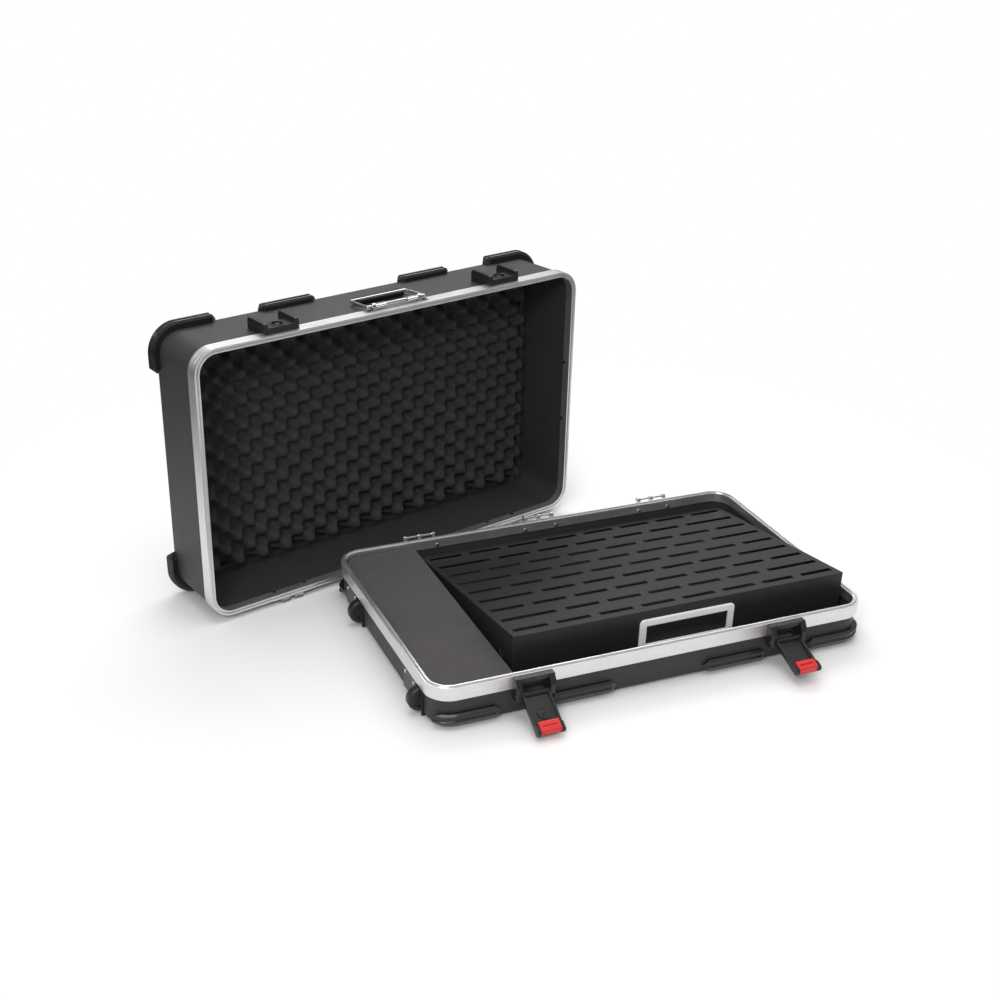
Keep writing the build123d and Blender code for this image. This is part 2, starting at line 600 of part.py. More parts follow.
def latch_housing(side):
    """The moulded housing: a back plate, two cheeks with the pivot holes and a top bar."""
    face = -HALF_DEPTH
    out = face - LATCH_DEPTH
    chin = LATCH_DEPTH * 0.3
    cheek = side_profile([(face, LATCH_BOTTOM), (out + chin, LATCH_BOTTOM), (out, LATCH_BOTTOM + chin),
                          (out, LATCH_TOP - LATCH_DEPTH * 0.8), (out + LATCH_DEPTH * 0.5, LATCH_TOP),
                          (face, LATCH_TOP)], LATCH_WIDTH / 2)
    cheek = chamfer(cheek.edges().filter_by(Axis.Z).group_by(Axis.Y)[0], LATCH_CHEEK_BEVEL)
    gap = block((-LATCH_INNER, LATCH_INNER), (face - LATCH_BACKPLATE, out),
                (LATCH_BOTTOM, LATCH_TOP - LATCH_BAR_HEIGHT))
    gap = gap + block((-LATCH_INNER, LATCH_INNER), (face - LATCH_BAR_DEPTH, out),
                      (LATCH_BOTTOM, BASE_HEIGHT))
    window = block((-LATCH_INNER, LATCH_INNER), (face, out),
                   (LATCH_BOTTOM, LATCH_PIVOT_HEIGHT - LEVER_KNUCKLE_RADIUS))
    body = Pos(side * LATCH_OFFSET, 0, 0) * (cheek - gap - window)
    holes = place_all(base_rim_rivets()[1], rivet_hole(LATCH_GRIP))
    return cut_all(body, holes + [latch_pin(side)])


def latch_pin(side):
    """The steel pin that the lever turns on."""
    x = side * LATCH_OFFSET
    half = LATCH_WIDTH / 2
    return rod(LATCH_PIN_RADIUS, (x - half, PIVOT_Y, LATCH_PIVOT_HEIGHT),
               (x + half, PIVOT_Y, LATCH_PIVOT_HEIGHT))


def lever_place(side_name):
    """The lever's frame: x across, y along the lever, z out of its inner face."""
    angle = LEVER_ANGLES[side_name]
    return (Pos(SIDES[side_name] * LATCH_OFFSET, PIVOT_Y, LATCH_PIVOT_HEIGHT)
            * Rot(0, 0, 180) * Rot(-angle, 0, 0))


def latch_lever(side_name):
    """A channelled lever: knuckle, plate, two rails and two hooked lugs at the tip."""
    half = LEVER_WIDTH / 2
    low = -LEVER_KNUCKLE_RADIUS
    tip = LEVER_LENGTH
    lug_start = tip - LEVER_LUG_LENGTH
    knuckle = rod(LEVER_KNUCKLE_RADIUS, (-half, 0, 0), (half, 0, 0))
    plate_end = tip - SLIDE_LIP - SLIDE_TRAVEL - LEVER_PLATE_GAP
    plate = block((-half, half), (0, plate_end), (low, low + LEVER_PLATE))
    lever = knuckle + plate
    for sign in SIDES.values():
        outer = sign * half
        rail = block((outer, outer - sign * LEVER_RAIL_WIDTH), (LEVER_KNUCKLE_RADIUS, tip - LEVER_RAIL_STOP),
                     (low, low + LEVER_RAIL_HEIGHT))
        lug = block((outer, outer - sign * LEVER_LUG_WIDTH), (lug_start, tip + LEVER_LUG_OVERRUN),
                    (low, low + LEVER_LUG_HEIGHT))
        lug = fillet(lug.edges().filter_by(Axis.X).group_by(Axis.Y)[-1], LEVER_LUG_HEIGHT * 0.4)
        lever = lever + rail + lug
    if side_name == "left":
        lever = lever - Pos(0, BARREL_POSITION, 0) * Cylinder(
            BARREL_RADIUS + FIT_GAP, 2 * LEVER_LUG_HEIGHT)
    bore = rod(LATCH_PIN_RADIUS + LATCH_RUNNING_GAP, (-half, 0, 0), (half, 0, 0))
    return lever_place(side_name) * (lever - bore)


def latch_slide(side_name):
    """The sliding safety catch at the lever's tip, with a groove for the thumb."""
    half = LEVER_WIDTH / 2 - LEVER_LUG_WIDTH - SLIDE_CLEARANCE
    base = -LEVER_KNUCKLE_RADIUS + LEVER_PLATE + SLIDE_CLEARANCE
    tip = LEVER_LENGTH
    start = tip - SLIDE_LENGTH
    body = block((-half, half), (start, tip), (base, base + SLIDE_HEIGHT))
    body = fillet(body.edges().filter_by(Axis.X).group_by(Axis.Z)[-1], SLIDE_HEIGHT * 0.35)
    lip = block((-half, half), (tip - SLIDE_LIP, tip), (-LEVER_KNUCKLE_RADIUS, base))
    catch = body + lip
    groove_half = half - SLIDE_HEIGHT / 2
    middle = start + SLIDE_LENGTH / 2
    groove = block((-groove_half, groove_half),
                   (middle - SLIDE_GROOVE_WIDTH / 2, middle + SLIDE_GROOVE_WIDTH / 2),
                   (base + SLIDE_HEIGHT - SLIDE_GROOVE_DEPTH, base + 2 * SLIDE_HEIGHT))
    return lever_place(side_name) * (catch - groove)


def lock_barrel():
    """The key barrel through the left lever: a slot outside, a ringed head and a cam inside."""
    length = LEVER_PLATE + 2 * BARREL_PROUD
    middle = -LEVER_KNUCKLE_RADIUS + LEVER_PLATE / 2
    top = middle + length / 2
    barrel = Pos(0, BARREL_POSITION, middle) * Cylinder(BARREL_RADIUS, length)
    key_slot = Pos(0, BARREL_POSITION, middle - length / 2) * Box(
        BARREL_RADIUS, BARREL_SLOT_WIDTH, BARREL_PROUD)
    ring_cut = Pos(0, BARREL_POSITION, top) * (
        Cylinder(0.78 * BARREL_RADIUS, 2 * BARREL_RING_DEPTH)
        - Cylinder(0.5 * BARREL_RADIUS, 2 * BARREL_RING_DEPTH))
    cam = Pos(0, BARREL_POSITION, top) * Box(0.8 * BARREL_RADIUS, BARREL_CAM_WIDTH, 2 * BARREL_RING_DEPTH)
    return lever_place("left") * (barrel - key_slot - ring_cut + cam)


# ---------------------------------------------------------------- hinges
def base_hinge(x):
    """The tray's hinge half: a riveted leaf, three lugs and the pin they carry."""
    face = HALF_DEPTH
    pin_y = face + HINGE_PIN_REACH
    pin_z = BASE_HEIGHT + HINGE_PIN_RISE
    half = HINGE_WIDTH / 2
    leaf = block((-HINGE_LEAF_WIDTH / 2, HINGE_LEAF_WIDTH / 2), (face, face + HINGE_LEAF),
                 (BASE_HEIGHT - HINGE_LEAF_HEIGHT, BASE_HEIGHT - HINGE_LEAF_DROP))
    hinge = leaf + rod(HINGE_PIN_RADIUS, (-half, pin_y, pin_z), (half, pin_y, pin_z))
    for middle in (-half + HINGE_LUG_WIDTH / 2, 0, half - HINGE_LUG_WIDTH / 2):
        ends = (middle - HINGE_LUG_WIDTH / 2, middle + HINGE_LUG_WIDTH / 2)
        curl = rod(HINGE_KNUCKLE_RADIUS, (ends[0], pin_y, pin_z), (ends[1], pin_y, pin_z))
        arm = block(ends, (face, pin_y), (BASE_HEIGHT - HINGE_KNUCKLE_RADIUS, pin_z))
        hinge = hinge + curl + arm
    placed = Pos(x, 0, 0) * hinge
    return cut_all(placed, place_all(base_rim_rivets()[0], rivet_hole(RIM_GRIP)))


def lid_hinge(x):
    """The lid's hinge half: a riveted leaf and two open sleeves that drop over the pin."""
    face = HALF_DEPTH
    pin_y = face + HINGE_PIN_REACH
    half = HINGE_WIDTH / 2
    hinge = block((-HINGE_LEAF_WIDTH / 2, HINGE_LEAF_WIDTH / 2), (face, face + HINGE_LEAF),
                  (HINGE_LEAF_DROP, HINGE_LEAF_HEIGHT))
    for sign in SIDES.values():
        inner = sign * (HINGE_LUG_WIDTH / 2 + HINGE_SIDE_GAP)
        outer = inner + sign * HINGE_SLEEVE_WIDTH
        sleeve = rod(HINGE_KNUCKLE_RADIUS, (inner, pin_y, HINGE_PIN_RISE), (outer, pin_y, HINGE_PIN_RISE))
        arm = block((inner, outer), (face, pin_y), (HINGE_PIN_RISE, HINGE_PIN_RISE + HINGE_KNUCKLE_RADIUS))
        hinge = hinge + sleeve + arm
    bore = HINGE_PIN_RADIUS + HINGE_PIN_GAP
    hinge = hinge - rod(bore, (-half, pin_y, HINGE_PIN_RISE), (half, pin_y, HINGE_PIN_RISE))
    hinge = hinge - block((-half, half), (pin_y - bore, pin_y + bore), (-LID_HEIGHT, HINGE_PIN_RISE))
    placed = Pos(x, 0, 0) * hinge
    return cut_all(placed, place_all(lid_rim_rivets(), rivet_hole(RIM_GRIP)))


# ---------------------------------------------------------------- pedal board
def deck_height(y_from_front):
    """Height of the deck's top above the board's underside, from its tall front edge."""
    fall = (BOARD_TALL_HEIGHT - BOARD_LOW_HEIGHT) / BOARD_DEPTH
    return BOARD_TALL_HEIGHT - fall * y_from_front


def slot_row(count, first, length, pitch, width):
    """A row of rounded slots along X."""
    return [Pos(first + index * pitch, 0, 0) * RectangleRounded(length, width, SLOT_CORNER)
            for index in range(count)]


def deck_slots():
    """Nine staggered rows of slots: short all along, or short with a long one at each end."""
    slope_length = BOARD_DEPTH / cos(radians(BOARD_SLOPE))
    row_pitch = (slope_length - 2 * SLOT_EDGE_MARGIN) / (SLOT_ROWS - 1)
    row_end = (SLOTS_IN_EVEN_ROW - 1) * SLOT_PITCH / 2 + SLOT_LENGTH / 2
    slots = []
    for row in range(SLOT_ROWS):
        if row % 2 == 0:
            count = SLOTS_IN_EVEN_ROW
            shapes = slot_row(count, -(count - 1) * SLOT_PITCH / 2, SLOT_LENGTH, SLOT_PITCH, SLOT_WIDTH)
        else:
            count = SLOTS_IN_ODD_ROW
            shapes = slot_row(count, -(count - 1) * SLOT_PITCH / 2, SLOT_LENGTH, SLOT_PITCH, SLOT_WIDTH)
            far = row_end - SLOT_ODD_END_LENGTH / 2
            shapes += slot_row(2, -far, SLOT_ODD_END_LENGTH, 2 * far, SLOT_WIDTH)
        offset = SLOT_EDGE_MARGIN + row * row_pitch
        slots += [Pos(0, offset, 0) * shape for shape in shapes]
    return slots


def deck():
    """One folded sheet: the slotted deck, its front and back walls and both sides."""
    half = BOARD_LENGTH / 2
    floor = BOARD_FOOT_HEIGHT
    outer_points = [(0, floor), (0, BOARD_TALL_HEIGHT), (BOARD_DEPTH, BOARD_LOW_HEIGHT),
                    (BOARD_DEPTH, floor)]
    inner_points = [(BOARD_SHEET, floor - 1), (BOARD_SHEET, deck_height(BOARD_SHEET) - BOARD_SHEET),
                    (BOARD_DEPTH - BOARD_SHEET, deck_height(BOARD_DEPTH - BOARD_SHEET) - BOARD_SHEET),
                    (BOARD_DEPTH - BOARD_SHEET, floor - 1)]
    outer = side_profile(outer_points, half)
    outer = fillet(outer.edges().filter_by(Axis.Z).group_by(Axis.Y)[-1], BOARD_BACK_CORNER)
    inner = side_profile(inner_points, half - BOARD_SHEET)
    inner = fillet(inner.edges().filter_by(Axis.Z).group_by(Axis.Y)[-1], BOARD_BACK_CORNER - BOARD_SHEET)
    body = outer - inner
    for side in SIDES.values():
        lip = block((side * half, side * (half - BOARD_RETURN)), (0, BOARD_DEPTH),
                    (floor, floor + BOARD_SHEET))
        body = body + (lip & outer)
    slope = Plane(origin=(0, 0, BOARD_TALL_HEIGHT), x_dir=(1, 0, 0),
                  z_dir=(0, sin(radians(BOARD_SLOPE)), cos(radians(BOARD_SLOPE))))
    cutter = extrude(slope * (Sketch() + deck_slots()), 2 * BOARD_SHEET, both=True)
    body = body - cutter
    window = bezel_window(BEZEL_SEAT_GAP)
    holes = [rod(CABLE_HOLE_RADIUS, (side * (half + 1), CABLE_HOLE_FROM_TALL_EDGE, cable_hole_height()),
                 (side * (half - 2 * BOARD_SHEET), CABLE_HOLE_FROM_TALL_EDGE, cable_hole_height()))
             for side in SIDES.values()]
    return cut_all(body, [window] + holes)


def cable_hole_height():
    """Height of the cable hole's centre in each side."""
    return deck_height(CABLE_HOLE_FROM_TALL_EDGE) - CABLE_HOLE_DROP


def bezel_window(grow):
    """The through opening in the deck's front wall, grown by a clearance."""
    width = BEZEL_WIDTH - 2 * BEZEL_BORDER
    height = BEZEL_HEIGHT - 2 * BEZEL_BORDER
    middle = BEZEL_BASE + BEZEL_HEIGHT / 2
    return block((BEZEL_CENTRE - width / 2 - grow, BEZEL_CENTRE + width / 2 + grow),
                 (-2 * BEZEL_THICKNESS, 2 * BOARD_SHEET),
                 (middle - height / 2 - grow, middle + height / 2 + grow))


def module_bezel():
    """The pale frame round the module opening, clipped to the front wall."""
    middle = BEZEL_BASE + BEZEL_HEIGHT / 2
    frame = Plane.XZ * (Pos(BEZEL_CENTRE, middle) * RectangleRounded(
        BEZEL_WIDTH, BEZEL_HEIGHT, BEZEL_CORNER))
    plate = extrude(frame, BEZEL_THICKNESS)
    plate = fillet(plate.edges().group_by(Axis.Y)[0], BEZEL_THICKNESS / 2)
    return plate - bezel_window(0)


def board_feet():
    """Four rubber feet under the turned-in edges of the sheet."""
    feet = []
    for side in SIDES.values():
        for y in (BOARD_FOOT_INSET, BOARD_DEPTH - BOARD_FOOT_INSET):
            x = side * (BOARD_LENGTH / 2 - BOARD_RETURN / 2)
            feet.append(Pos(x, y, 0) * Cylinder(
                BOARD_FOOT_RADIUS, BOARD_FOOT_HEIGHT, align=(Align.CENTER, Align.CENTER, Align.MIN)))
    return feet


def board_place():
    """From the board's own frame to its place on the liner."""
    return Pos(BOARD_CENTRE_X, BOARD_FRONT_Y, BOARD_FLOOR)


# ---------------------------------------------------------------- lid, in its shut frame
def lid_outer():
    """The lid's outer form, solid, from the edge in the rim to the top panel."""
    start = LID_RIM_WEB + FIT_GAP
    solid = slab(SHELL_INSET + LID_DRAFT * start / LID_HEIGHT, start, LID_HEIGHT, LID_DRAFT_ANGLE)
    return fillet(solid.edges().group_by(Axis.Z)[-1], EDGE_RADIUS)


def wall_plane(x_dir, z_dir, height):
    """A frame on the lid's outer wall: x along the wall, y up it, z square out of it."""
    reach = HALF_DEPTH if abs(z_dir[1]) > abs(z_dir[0]) else HALF_LENGTH
    inset = SHELL_INSET + height * tan(radians(LID_DRAFT_ANGLE))
    lean = radians(LID_DRAFT_ANGLE)
    normal = (z_dir[0] * cos(lean), z_dir[1] * cos(lean), sin(lean))
    origin = (z_dir[0] * (reach - inset), z_dir[1] * (reach - inset), height)
    return Plane(origin=origin, x_dir=x_dir, z_dir=normal)


def keeper_rivet_places(side):
    """Frames on the keeper's floor, with z out of the lid."""
    plane = wall_plane((1, 0, 0), (0, -1, 0), 0)
    y = KEEPER_LENGTH - 2.5 * RIVET_HEAD_RADIUS
    return [Location(plane) * Pos(side * LATCH_OFFSET + sign * LATCH_RIVET_OFFSET, y, KEEPER_PLATE)
            for sign in SIDES.values()]


KEEPER_GRIP = KEEPER_PLATE + SHELL_WALL


def handle_rivet_places(plane):
    """Frames on the handle's bracket plate."""
    offset = HANDLE_PLATE_LENGTH / 2 - 2 * RIVET_HEAD_RADIUS
    return [Location(plane) * Pos(sign * offset, RIVET_DROP - HANDLE_PIVOT_OFFSET, HANDLE_PLATE)
            for sign in SIDES.values()]


HANDLE_GRIP = HANDLE_PLATE + RIM_WIDTH
CARRY_PLANE = Plane(origin=(0, -HALF_DEPTH, HANDLE_PIVOT_OFFSET), x_dir=(1, 0, 0), z_dir=(0, -1, 0))
SIDE_PLANE = Plane(origin=(HALF_LENGTH, 0, HANDLE_PIVOT_OFFSET), x_dir=(0, 1, 0), z_dir=(1, 0, 0))


def lid_rivet_sets():
    """Every rivet place on the lid with its grip."""
    sets = [(place, RIM_GRIP) for place in lid_rim_rivets()]
    for side in SIDES.values():
        sets += [(place, KEEPER_GRIP) for place in keeper_rivet_places(side)]
    for plane in (CARRY_PLANE, SIDE_PLANE):
        sets += [(place, HANDLE_GRIP) for place in handle_rivet_places(plane)]
    return sets


def lid_shell():
    """The moulded lid, drilled for its rivets."""
    inner_inset = SHELL_INSET + SHELL_WALL
    hollow = slab(inner_inset, 0, LID_HEIGHT - SHELL_WALL, LID_DRAFT_ANGLE)
    hollow = fillet(hollow.edges().group_by(Axis.Z)[-1], EDGE_RADIUS - SHELL_WALL)
    return cut_all(lid_outer() - hollow, [place * rivet_hole(grip) for place, grip in lid_rivet_sets()])


def lid_rim():
    """The lid's rim: grooved band, inner flange and a web with the tongue's groove."""
    band = ring(0, RIM_THICKNESS, 0, RIM_BAND_HEIGHT)
    web = ring(0, RIM_WIDTH, 0, LID_RIM_WEB)
    flange = ring(RIM_WIDTH - RIM_THICKNESS, RIM_WIDTH, 0, RIM_FLANGE_HEIGHT)
    groove = ring(TONGUE_INSET - TONGUE_CLEARANCE, TONGUE_INSET + TONGUE_WIDTH + TONGUE_CLEARANCE,
                  -1, TONGUE_HEIGHT + TONGUE_CLEARANCE)
    lines = [ring(-1, RIM_GROOVE_DEPTH, height, height + RIM_GROOVE_WIDTH)
             for height in RIM_GROOVE_HEIGHTS]
    holes = place_all(lid_rim_rivets(), rivet_hole(RIM_GRIP))
    for plane in (CARRY_PLANE, SIDE_PLANE):
        holes += place_all(handle_rivet_places(plane), rivet_hole(HANDLE_GRIP))
    return cut_all(band + web + flange, [groove] + lines + holes)


def lid_foam():
    """The plain bed of the profiled foam sheet under the top panel."""
    top = LID_HEIGHT - SHELL_WALL - FOAM_GAP
    return block((-HALF_LENGTH + RIM_WIDTH + LID_FOAM_MARGIN_X, HALF_LENGTH - RIM_WIDTH - LID_FOAM_MARGIN_X),
                 (-HALF_DEPTH + RIM_WIDTH + LID_FOAM_MARGIN_Y, HALF_DEPTH - RIM_WIDTH - LID_FOAM_MARGIN_Y),
                 (top - LID_FOAM_THICKNESS, top))


def latch_keeper(side):
    """The moulded keeper: floor, two rounded cheeks and a front block with a recessed boss."""
    over_band = SHELL_INSET
    band_edge = RIM_BAND_HEIGHT
    start, end = KEEPER_START, KEEPER_LENGTH
    half = KEEPER_WIDTH / 2
    foot = [(start, over_band), (band_edge, over_band), (band_edge, 0), (end, 0)]
    floor = side_profile(foot + [(end, KEEPER_PLATE), (band_edge + KEEPER_RAMP, KEEPER_PLATE),
                                 (band_edge, over_band + KEEPER_PLATE),
                                 (start, over_band + KEEPER_PLATE)], half)
    cheek = side_profile(foot + [(end, KEEPER_HEIGHT), (start, KEEPER_FRONT_HEIGHT)], half)
    cheek = fillet(cheek.edges().filter_by(Axis.X).group_by(Axis.Z)[-1], KEEPER_BACK_ROUND)
    cheek = fillet(cheek.edges().filter_by(Axis.X).group_by(Axis.Y)[0].sort_by(Axis.Z)[-1],
                   KEEPER_FRONT_ROUND)
    cheeks = cheek - block((-KEEPER_INNER, KEEPER_INNER), (0, 2 * end), (0, 2 * KEEPER_HEIGHT))
    front = block((-KEEPER_INNER, KEEPER_INNER), (start, start + KEEPER_BLOCK_LENGTH),
                  (over_band, KEEPER_BLOCK_HEIGHT))
    boss_place = Pos(0, start + KEEPER_BLOCK_LENGTH / 2, KEEPER_BLOCK_HEIGHT)
    recess = boss_place * (Cylinder(KEEPER_BOSS_RADIUS, 2 * KEEPER_BOSS_DEPTH)
                           - Cylinder(KEEPER_BOSS_CORE, 2 * KEEPER_BOSS_DEPTH))
    rim = boss_place * (Cylinder(KEEPER_BOSS_RADIUS + KEEPER_BOSS_RIM, KEEPER_BOSS_RIM)
                        - Cylinder(KEEPER_BOSS_RADIUS, KEEPER_BOSS_RIM))
    body = floor + cheeks + front + rim - recess
    plane = wall_plane((1, 0, 0), (0, -1, 0), 0)
    placed = Location(plane) * (Pos(side * LATCH_OFFSET, 0, 0) * body)
    band = ring(0, RIM_WIDTH, 0, RIM_BAND_HEIGHT)
    return cut_all(placed, [band] + place_all(keeper_rivet_places(side), rivet_hole(KEEPER_GRIP)))


def handle_bracket(plane):
    """The pressed bracket: a plate with two ears that the bail turns in."""
    body = Pos(0, 0, HANDLE_PLATE / 2) * Box(HANDLE_PLATE_LENGTH, HANDLE_PLATE_WIDTH, HANDLE_PLATE)
    for sign in SIDES.values():
        near = sign * (HANDLE_EAR_OFFSET - HANDLE_EAR_WIDTH / 2)
        far = sign * (HANDLE_EAR_OFFSET + HANDLE_EAR_WIDTH / 2)
        ear = rod(HANDLE_EAR_RADIUS, (near, 0, HANDLE_PIVOT_RISE), (far, 0, HANDLE_PIVOT_RISE))
        stem = block((near, far), (-HANDLE_EAR_RADIUS, HANDLE_EAR_RADIUS), (0, HANDLE_PIVOT_RISE))
        body = body + ear + stem
    bore = rod(HANDLE_ROD_RADIUS + HANDLE_RUNNING_GAP, (-HANDLE_WIDTH, 0, HANDLE_PIVOT_RISE),
               (HANDLE_WIDTH, 0, HANDLE_PIVOT_RISE))
    placed = Location(plane) * (body - bore)
    return cut_all(placed, [place * rivet_hole(HANDLE_GRIP) for place in handle_rivet_places(plane)])


def folded(plane):
    """The bail's frame at rest: x along its pivot, y towards its grip, lying on the wall."""
    return Location(plane) * Pos(0, 0, HANDLE_PIVOT_RISE) * Rot(-HANDLE_TILT, 0, 0)


def handle_bail(plane):
    """The round-wire bail, closed by its pivot rod."""
    half = HANDLE_WIDTH / 2
    inner = half - HANDLE_TAPER
    corners = [(-half, 0, 0), (-inner, HANDLE_REACH, 0), (inner, HANDLE_REACH, 0), (half, 0, 0)]
    bail = rod(HANDLE_ROD_RADIUS, corners[0], corners[3])
    for start, end in zip(corners[:-1], corners[1:]):
        bail = bail + rod(HANDLE_ROD_RADIUS, start, end)
    for corner in corners:
        bail = bail + Pos(*corner) * Sphere(HANDLE_ROD_RADIUS)
    return folded(plane) * bail


def handle_grip(plane):
    """The moulded grip under the bail's cross wire, which snaps into a channel along its top."""
    grip = Pos(0, HANDLE_REACH, GRIP_TOP - GRIP_THICKNESS / 2) * Box(GRIP_LENGTH, GRIP_WIDTH, GRIP_THICKNESS)
    grip = fillet(grip.edges().filter_by(Axis.X), GRIP_CORNER)
    channel = rod(HANDLE_ROD_RADIUS + HANDLE_RUNNING_GAP, (-GRIP_LENGTH, HANDLE_REACH, 0),
                  (GRIP_LENGTH, HANDLE_REACH, 0))
    return folded(plane) * (grip - channel)


def handle_springs(plane):
    """Two return springs on the pivot rod, drawn as close-wound coils against the ears."""
    inner = HANDLE_ROD_RADIUS + SPRING_GAP
    turns = int(SPRING_LENGTH / SPRING_WIRE)
    pitch = SPRING_LENGTH / turns
    crown = [(pitch * (turn + share), inner + SPRING_WIRE * height)
             for turn in range(turns) for share, height in ((0.0, 0.6), (0.5, 1.0))]
    points = [(0, inner)] + crown + [(SPRING_LENGTH, inner + SPRING_WIRE * 0.6), (SPRING_LENGTH, inner)]
    coil = revolve(make_face(Polyline(*points, close=True)), Axis.X)
    ear_face = HANDLE_EAR_OFFSET - HANDLE_EAR_WIDTH / 2
    return [Location(plane) * (Pos(start, 0, HANDLE_PIVOT_RISE) * coil)
            for start in (-ear_face, ear_face - SPRING_LENGTH)]


# ---------------------------------------------------------------- assembly
def base_pieces():
    """Everything on the tray: shell, rim, padding, bumpers, wheels, latches and hinges."""
    pieces = {"base_shell": base_shell(), "base_rim": base_rim(), "base_foam_block": foam_block(),
              "base_foam_liner": foam_liner()}
    pieces.update(base_bumpers())
    hinge, latch = base_rim_rivets()
    rivets = place_all(hinge, rivet(RIM_GRIP))
    pieces["latch_rivets"] = place_all(latch, rivet(LATCH_GRIP))
    for name, y_middle in WHEEL_POSITIONS.items():
        pieces[f"wheel_housing_{name}"] = wheel_housing(y_middle)
        pieces[f"wheel_axle_{name}"] = wheel_axle(y_middle)
        pieces[f"wheel_{name}"] = wheel(y_middle)
        rivets += place_all(housing_rivet_places(y_middle), rivet(HOUSING_GRIP))
    pieces["base_rivets"] = rivets
    for name, side in SIDES.items():
        pieces[f"latch_housing_{name}"] = latch_housing(side)
        pieces[f"latch_pin_{name}"] = latch_pin(side)
        pieces[f"latch_lever_{name}"] = latch_lever(name)
        pieces[f"latch_slide_{name}"] = latch_slide(name)
    pieces["latch_lock_barrel"] = lock_barrel()
    for name, x in HINGES.items():
        pieces[f"base_hinge_{name}"] = base_hinge(x)
    return pieces


def board_pieces():
    """The pedal board, standing on the liner."""
    place = board_place()
    return {"board_deck": place * deck(), "board_module_bezel": place * module_bezel(),
            "board_feet": [place * foot for foot in board_feet()]}


def lid_pieces():
    """The lid and its fittings, built shut and then stood on the floor."""
    pieces = {"lid_shell": lid_shell(), "lid_rim": lid_rim(), "lid_foam_sheet": lid_foam()}
    pieces.update(lid_bumpers())
    for name, side in SIDES.items():
        pieces[f"latch_keeper_{name}"] = latch_keeper(side)
    for name, x in HINGES.items():
        pieces[f"lid_hinge_{name}"] = lid_hinge(x)
    for name, plane in (("carry", CARRY_PLANE), ("side", SIDE_PLANE)):
        pieces[f"{name}_handle_bracket"] = handle_bracket(plane)
        pieces[f"{name}_handle_bail"] = handle_bail(plane)
        pieces[f"{name}_handle_grip"] = handle_grip(plane)
        pieces[f"{name}_handle_springs"] = handle_springs(plane)
    pieces["lid_rivets"] = [place * rivet(grip) for place, grip in lid_rivet_sets()]
    return {name: stood_up(piece) for name, piece in pieces.items()}


def stood_up(piece):
    """A lid piece, or a list of them, moved to where the lid stands."""
    if isinstance(piece, list):
        return [LID_PLACE * solid for solid in piece]
    return LID_PLACE * piece


def as_one(piece):
    """A node's solids as one exportable shape."""
    return Compound(children=piece) if isinstance(piece, list) else piece


def main():
    """Build every node and write it to its own file."""
    os.makedirs("parts", exist_ok=True)
    for pieces in (base_pieces(), board_pieces(), lid_pieces()):
        for name, piece in pieces.items():
            export_step(as_one(piece), f"parts/{name}.step")


if __name__ == "__main__":
    main()
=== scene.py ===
"""Dresses the pedal-board flight case: finishes, padding, floor, lamps and camera.

Lengths are metres in the case's own frame: the origin is the centre of the tray's underside,
+X runs along the tray's long side and -Y is the latch side.
"""
from __future__ import annotations

import json
import logging
import math
from dataclasses import dataclass
from enum import Enum
from typing import Dict, Optional, Sequence, Tuple, Union

import bmesh
import bpy
from mathutils import Matrix, Vector

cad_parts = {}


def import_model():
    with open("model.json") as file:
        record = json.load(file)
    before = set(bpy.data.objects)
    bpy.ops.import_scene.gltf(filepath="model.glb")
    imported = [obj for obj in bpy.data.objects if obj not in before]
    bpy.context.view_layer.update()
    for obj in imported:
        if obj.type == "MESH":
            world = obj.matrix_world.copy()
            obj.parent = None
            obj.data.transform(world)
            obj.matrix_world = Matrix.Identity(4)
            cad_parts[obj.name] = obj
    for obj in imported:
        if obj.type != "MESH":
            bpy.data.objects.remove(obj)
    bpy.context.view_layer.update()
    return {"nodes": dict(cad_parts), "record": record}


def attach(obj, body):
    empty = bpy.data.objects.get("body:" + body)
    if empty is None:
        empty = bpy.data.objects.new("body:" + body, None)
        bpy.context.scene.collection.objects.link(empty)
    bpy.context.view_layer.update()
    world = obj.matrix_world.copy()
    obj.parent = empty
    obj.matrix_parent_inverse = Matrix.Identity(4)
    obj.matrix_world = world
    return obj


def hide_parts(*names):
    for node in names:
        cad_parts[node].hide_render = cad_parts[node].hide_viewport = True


LOG = logging.getLogger("pedal_case")

Colour = Tuple[float, float, float]
Point = Tuple[float, float, float]
Number = Union[float, "Socket", bpy.types.NodeSocket]

WHITE = (1.0, 1.0, 1.0, 1.0)
LID_YAW = math.radians(15.4)  # how far the standing lid is turned from the tray


# ---------------------------------------------------------------- nodes
class Socket:
    """A node's output that can stand in a Python expression on numbers."""

    def __init__(self, nodes: "Nodes", link: bpy.types.NodeSocket) -> None:
        """Wrap one output of a tree."""
        self.nodes = nodes
        self.link = link

    def __add__(self, other: Number) -> "Socket":
        """Sum of two values."""
        return self.nodes.maths("ADD", self, other)

    __radd__ = __add__

    def __sub__(self, other: Number) -> "Socket":
        """Difference of two values."""
        return self.nodes.maths("SUBTRACT", self, other)

    def __rsub__(self, other: Number) -> "Socket":
        """Difference with this value on the right."""
        return self.nodes.maths("SUBTRACT", other, self)

    def __mul__(self, other: Number) -> "Socket":
        """Product of two values."""
        return self.nodes.maths("MULTIPLY", self, other)

    __rmul__ = __mul__

    def __truediv__(self, other: Number) -> "Socket":
        """Quotient of two values."""
        return self.nodes.maths("DIVIDE", self, other)

    def __rtruediv__(self, other: Number) -> "Socket":
        """Quotient with this value below."""
        return self.nodes.maths("DIVIDE", other, self)


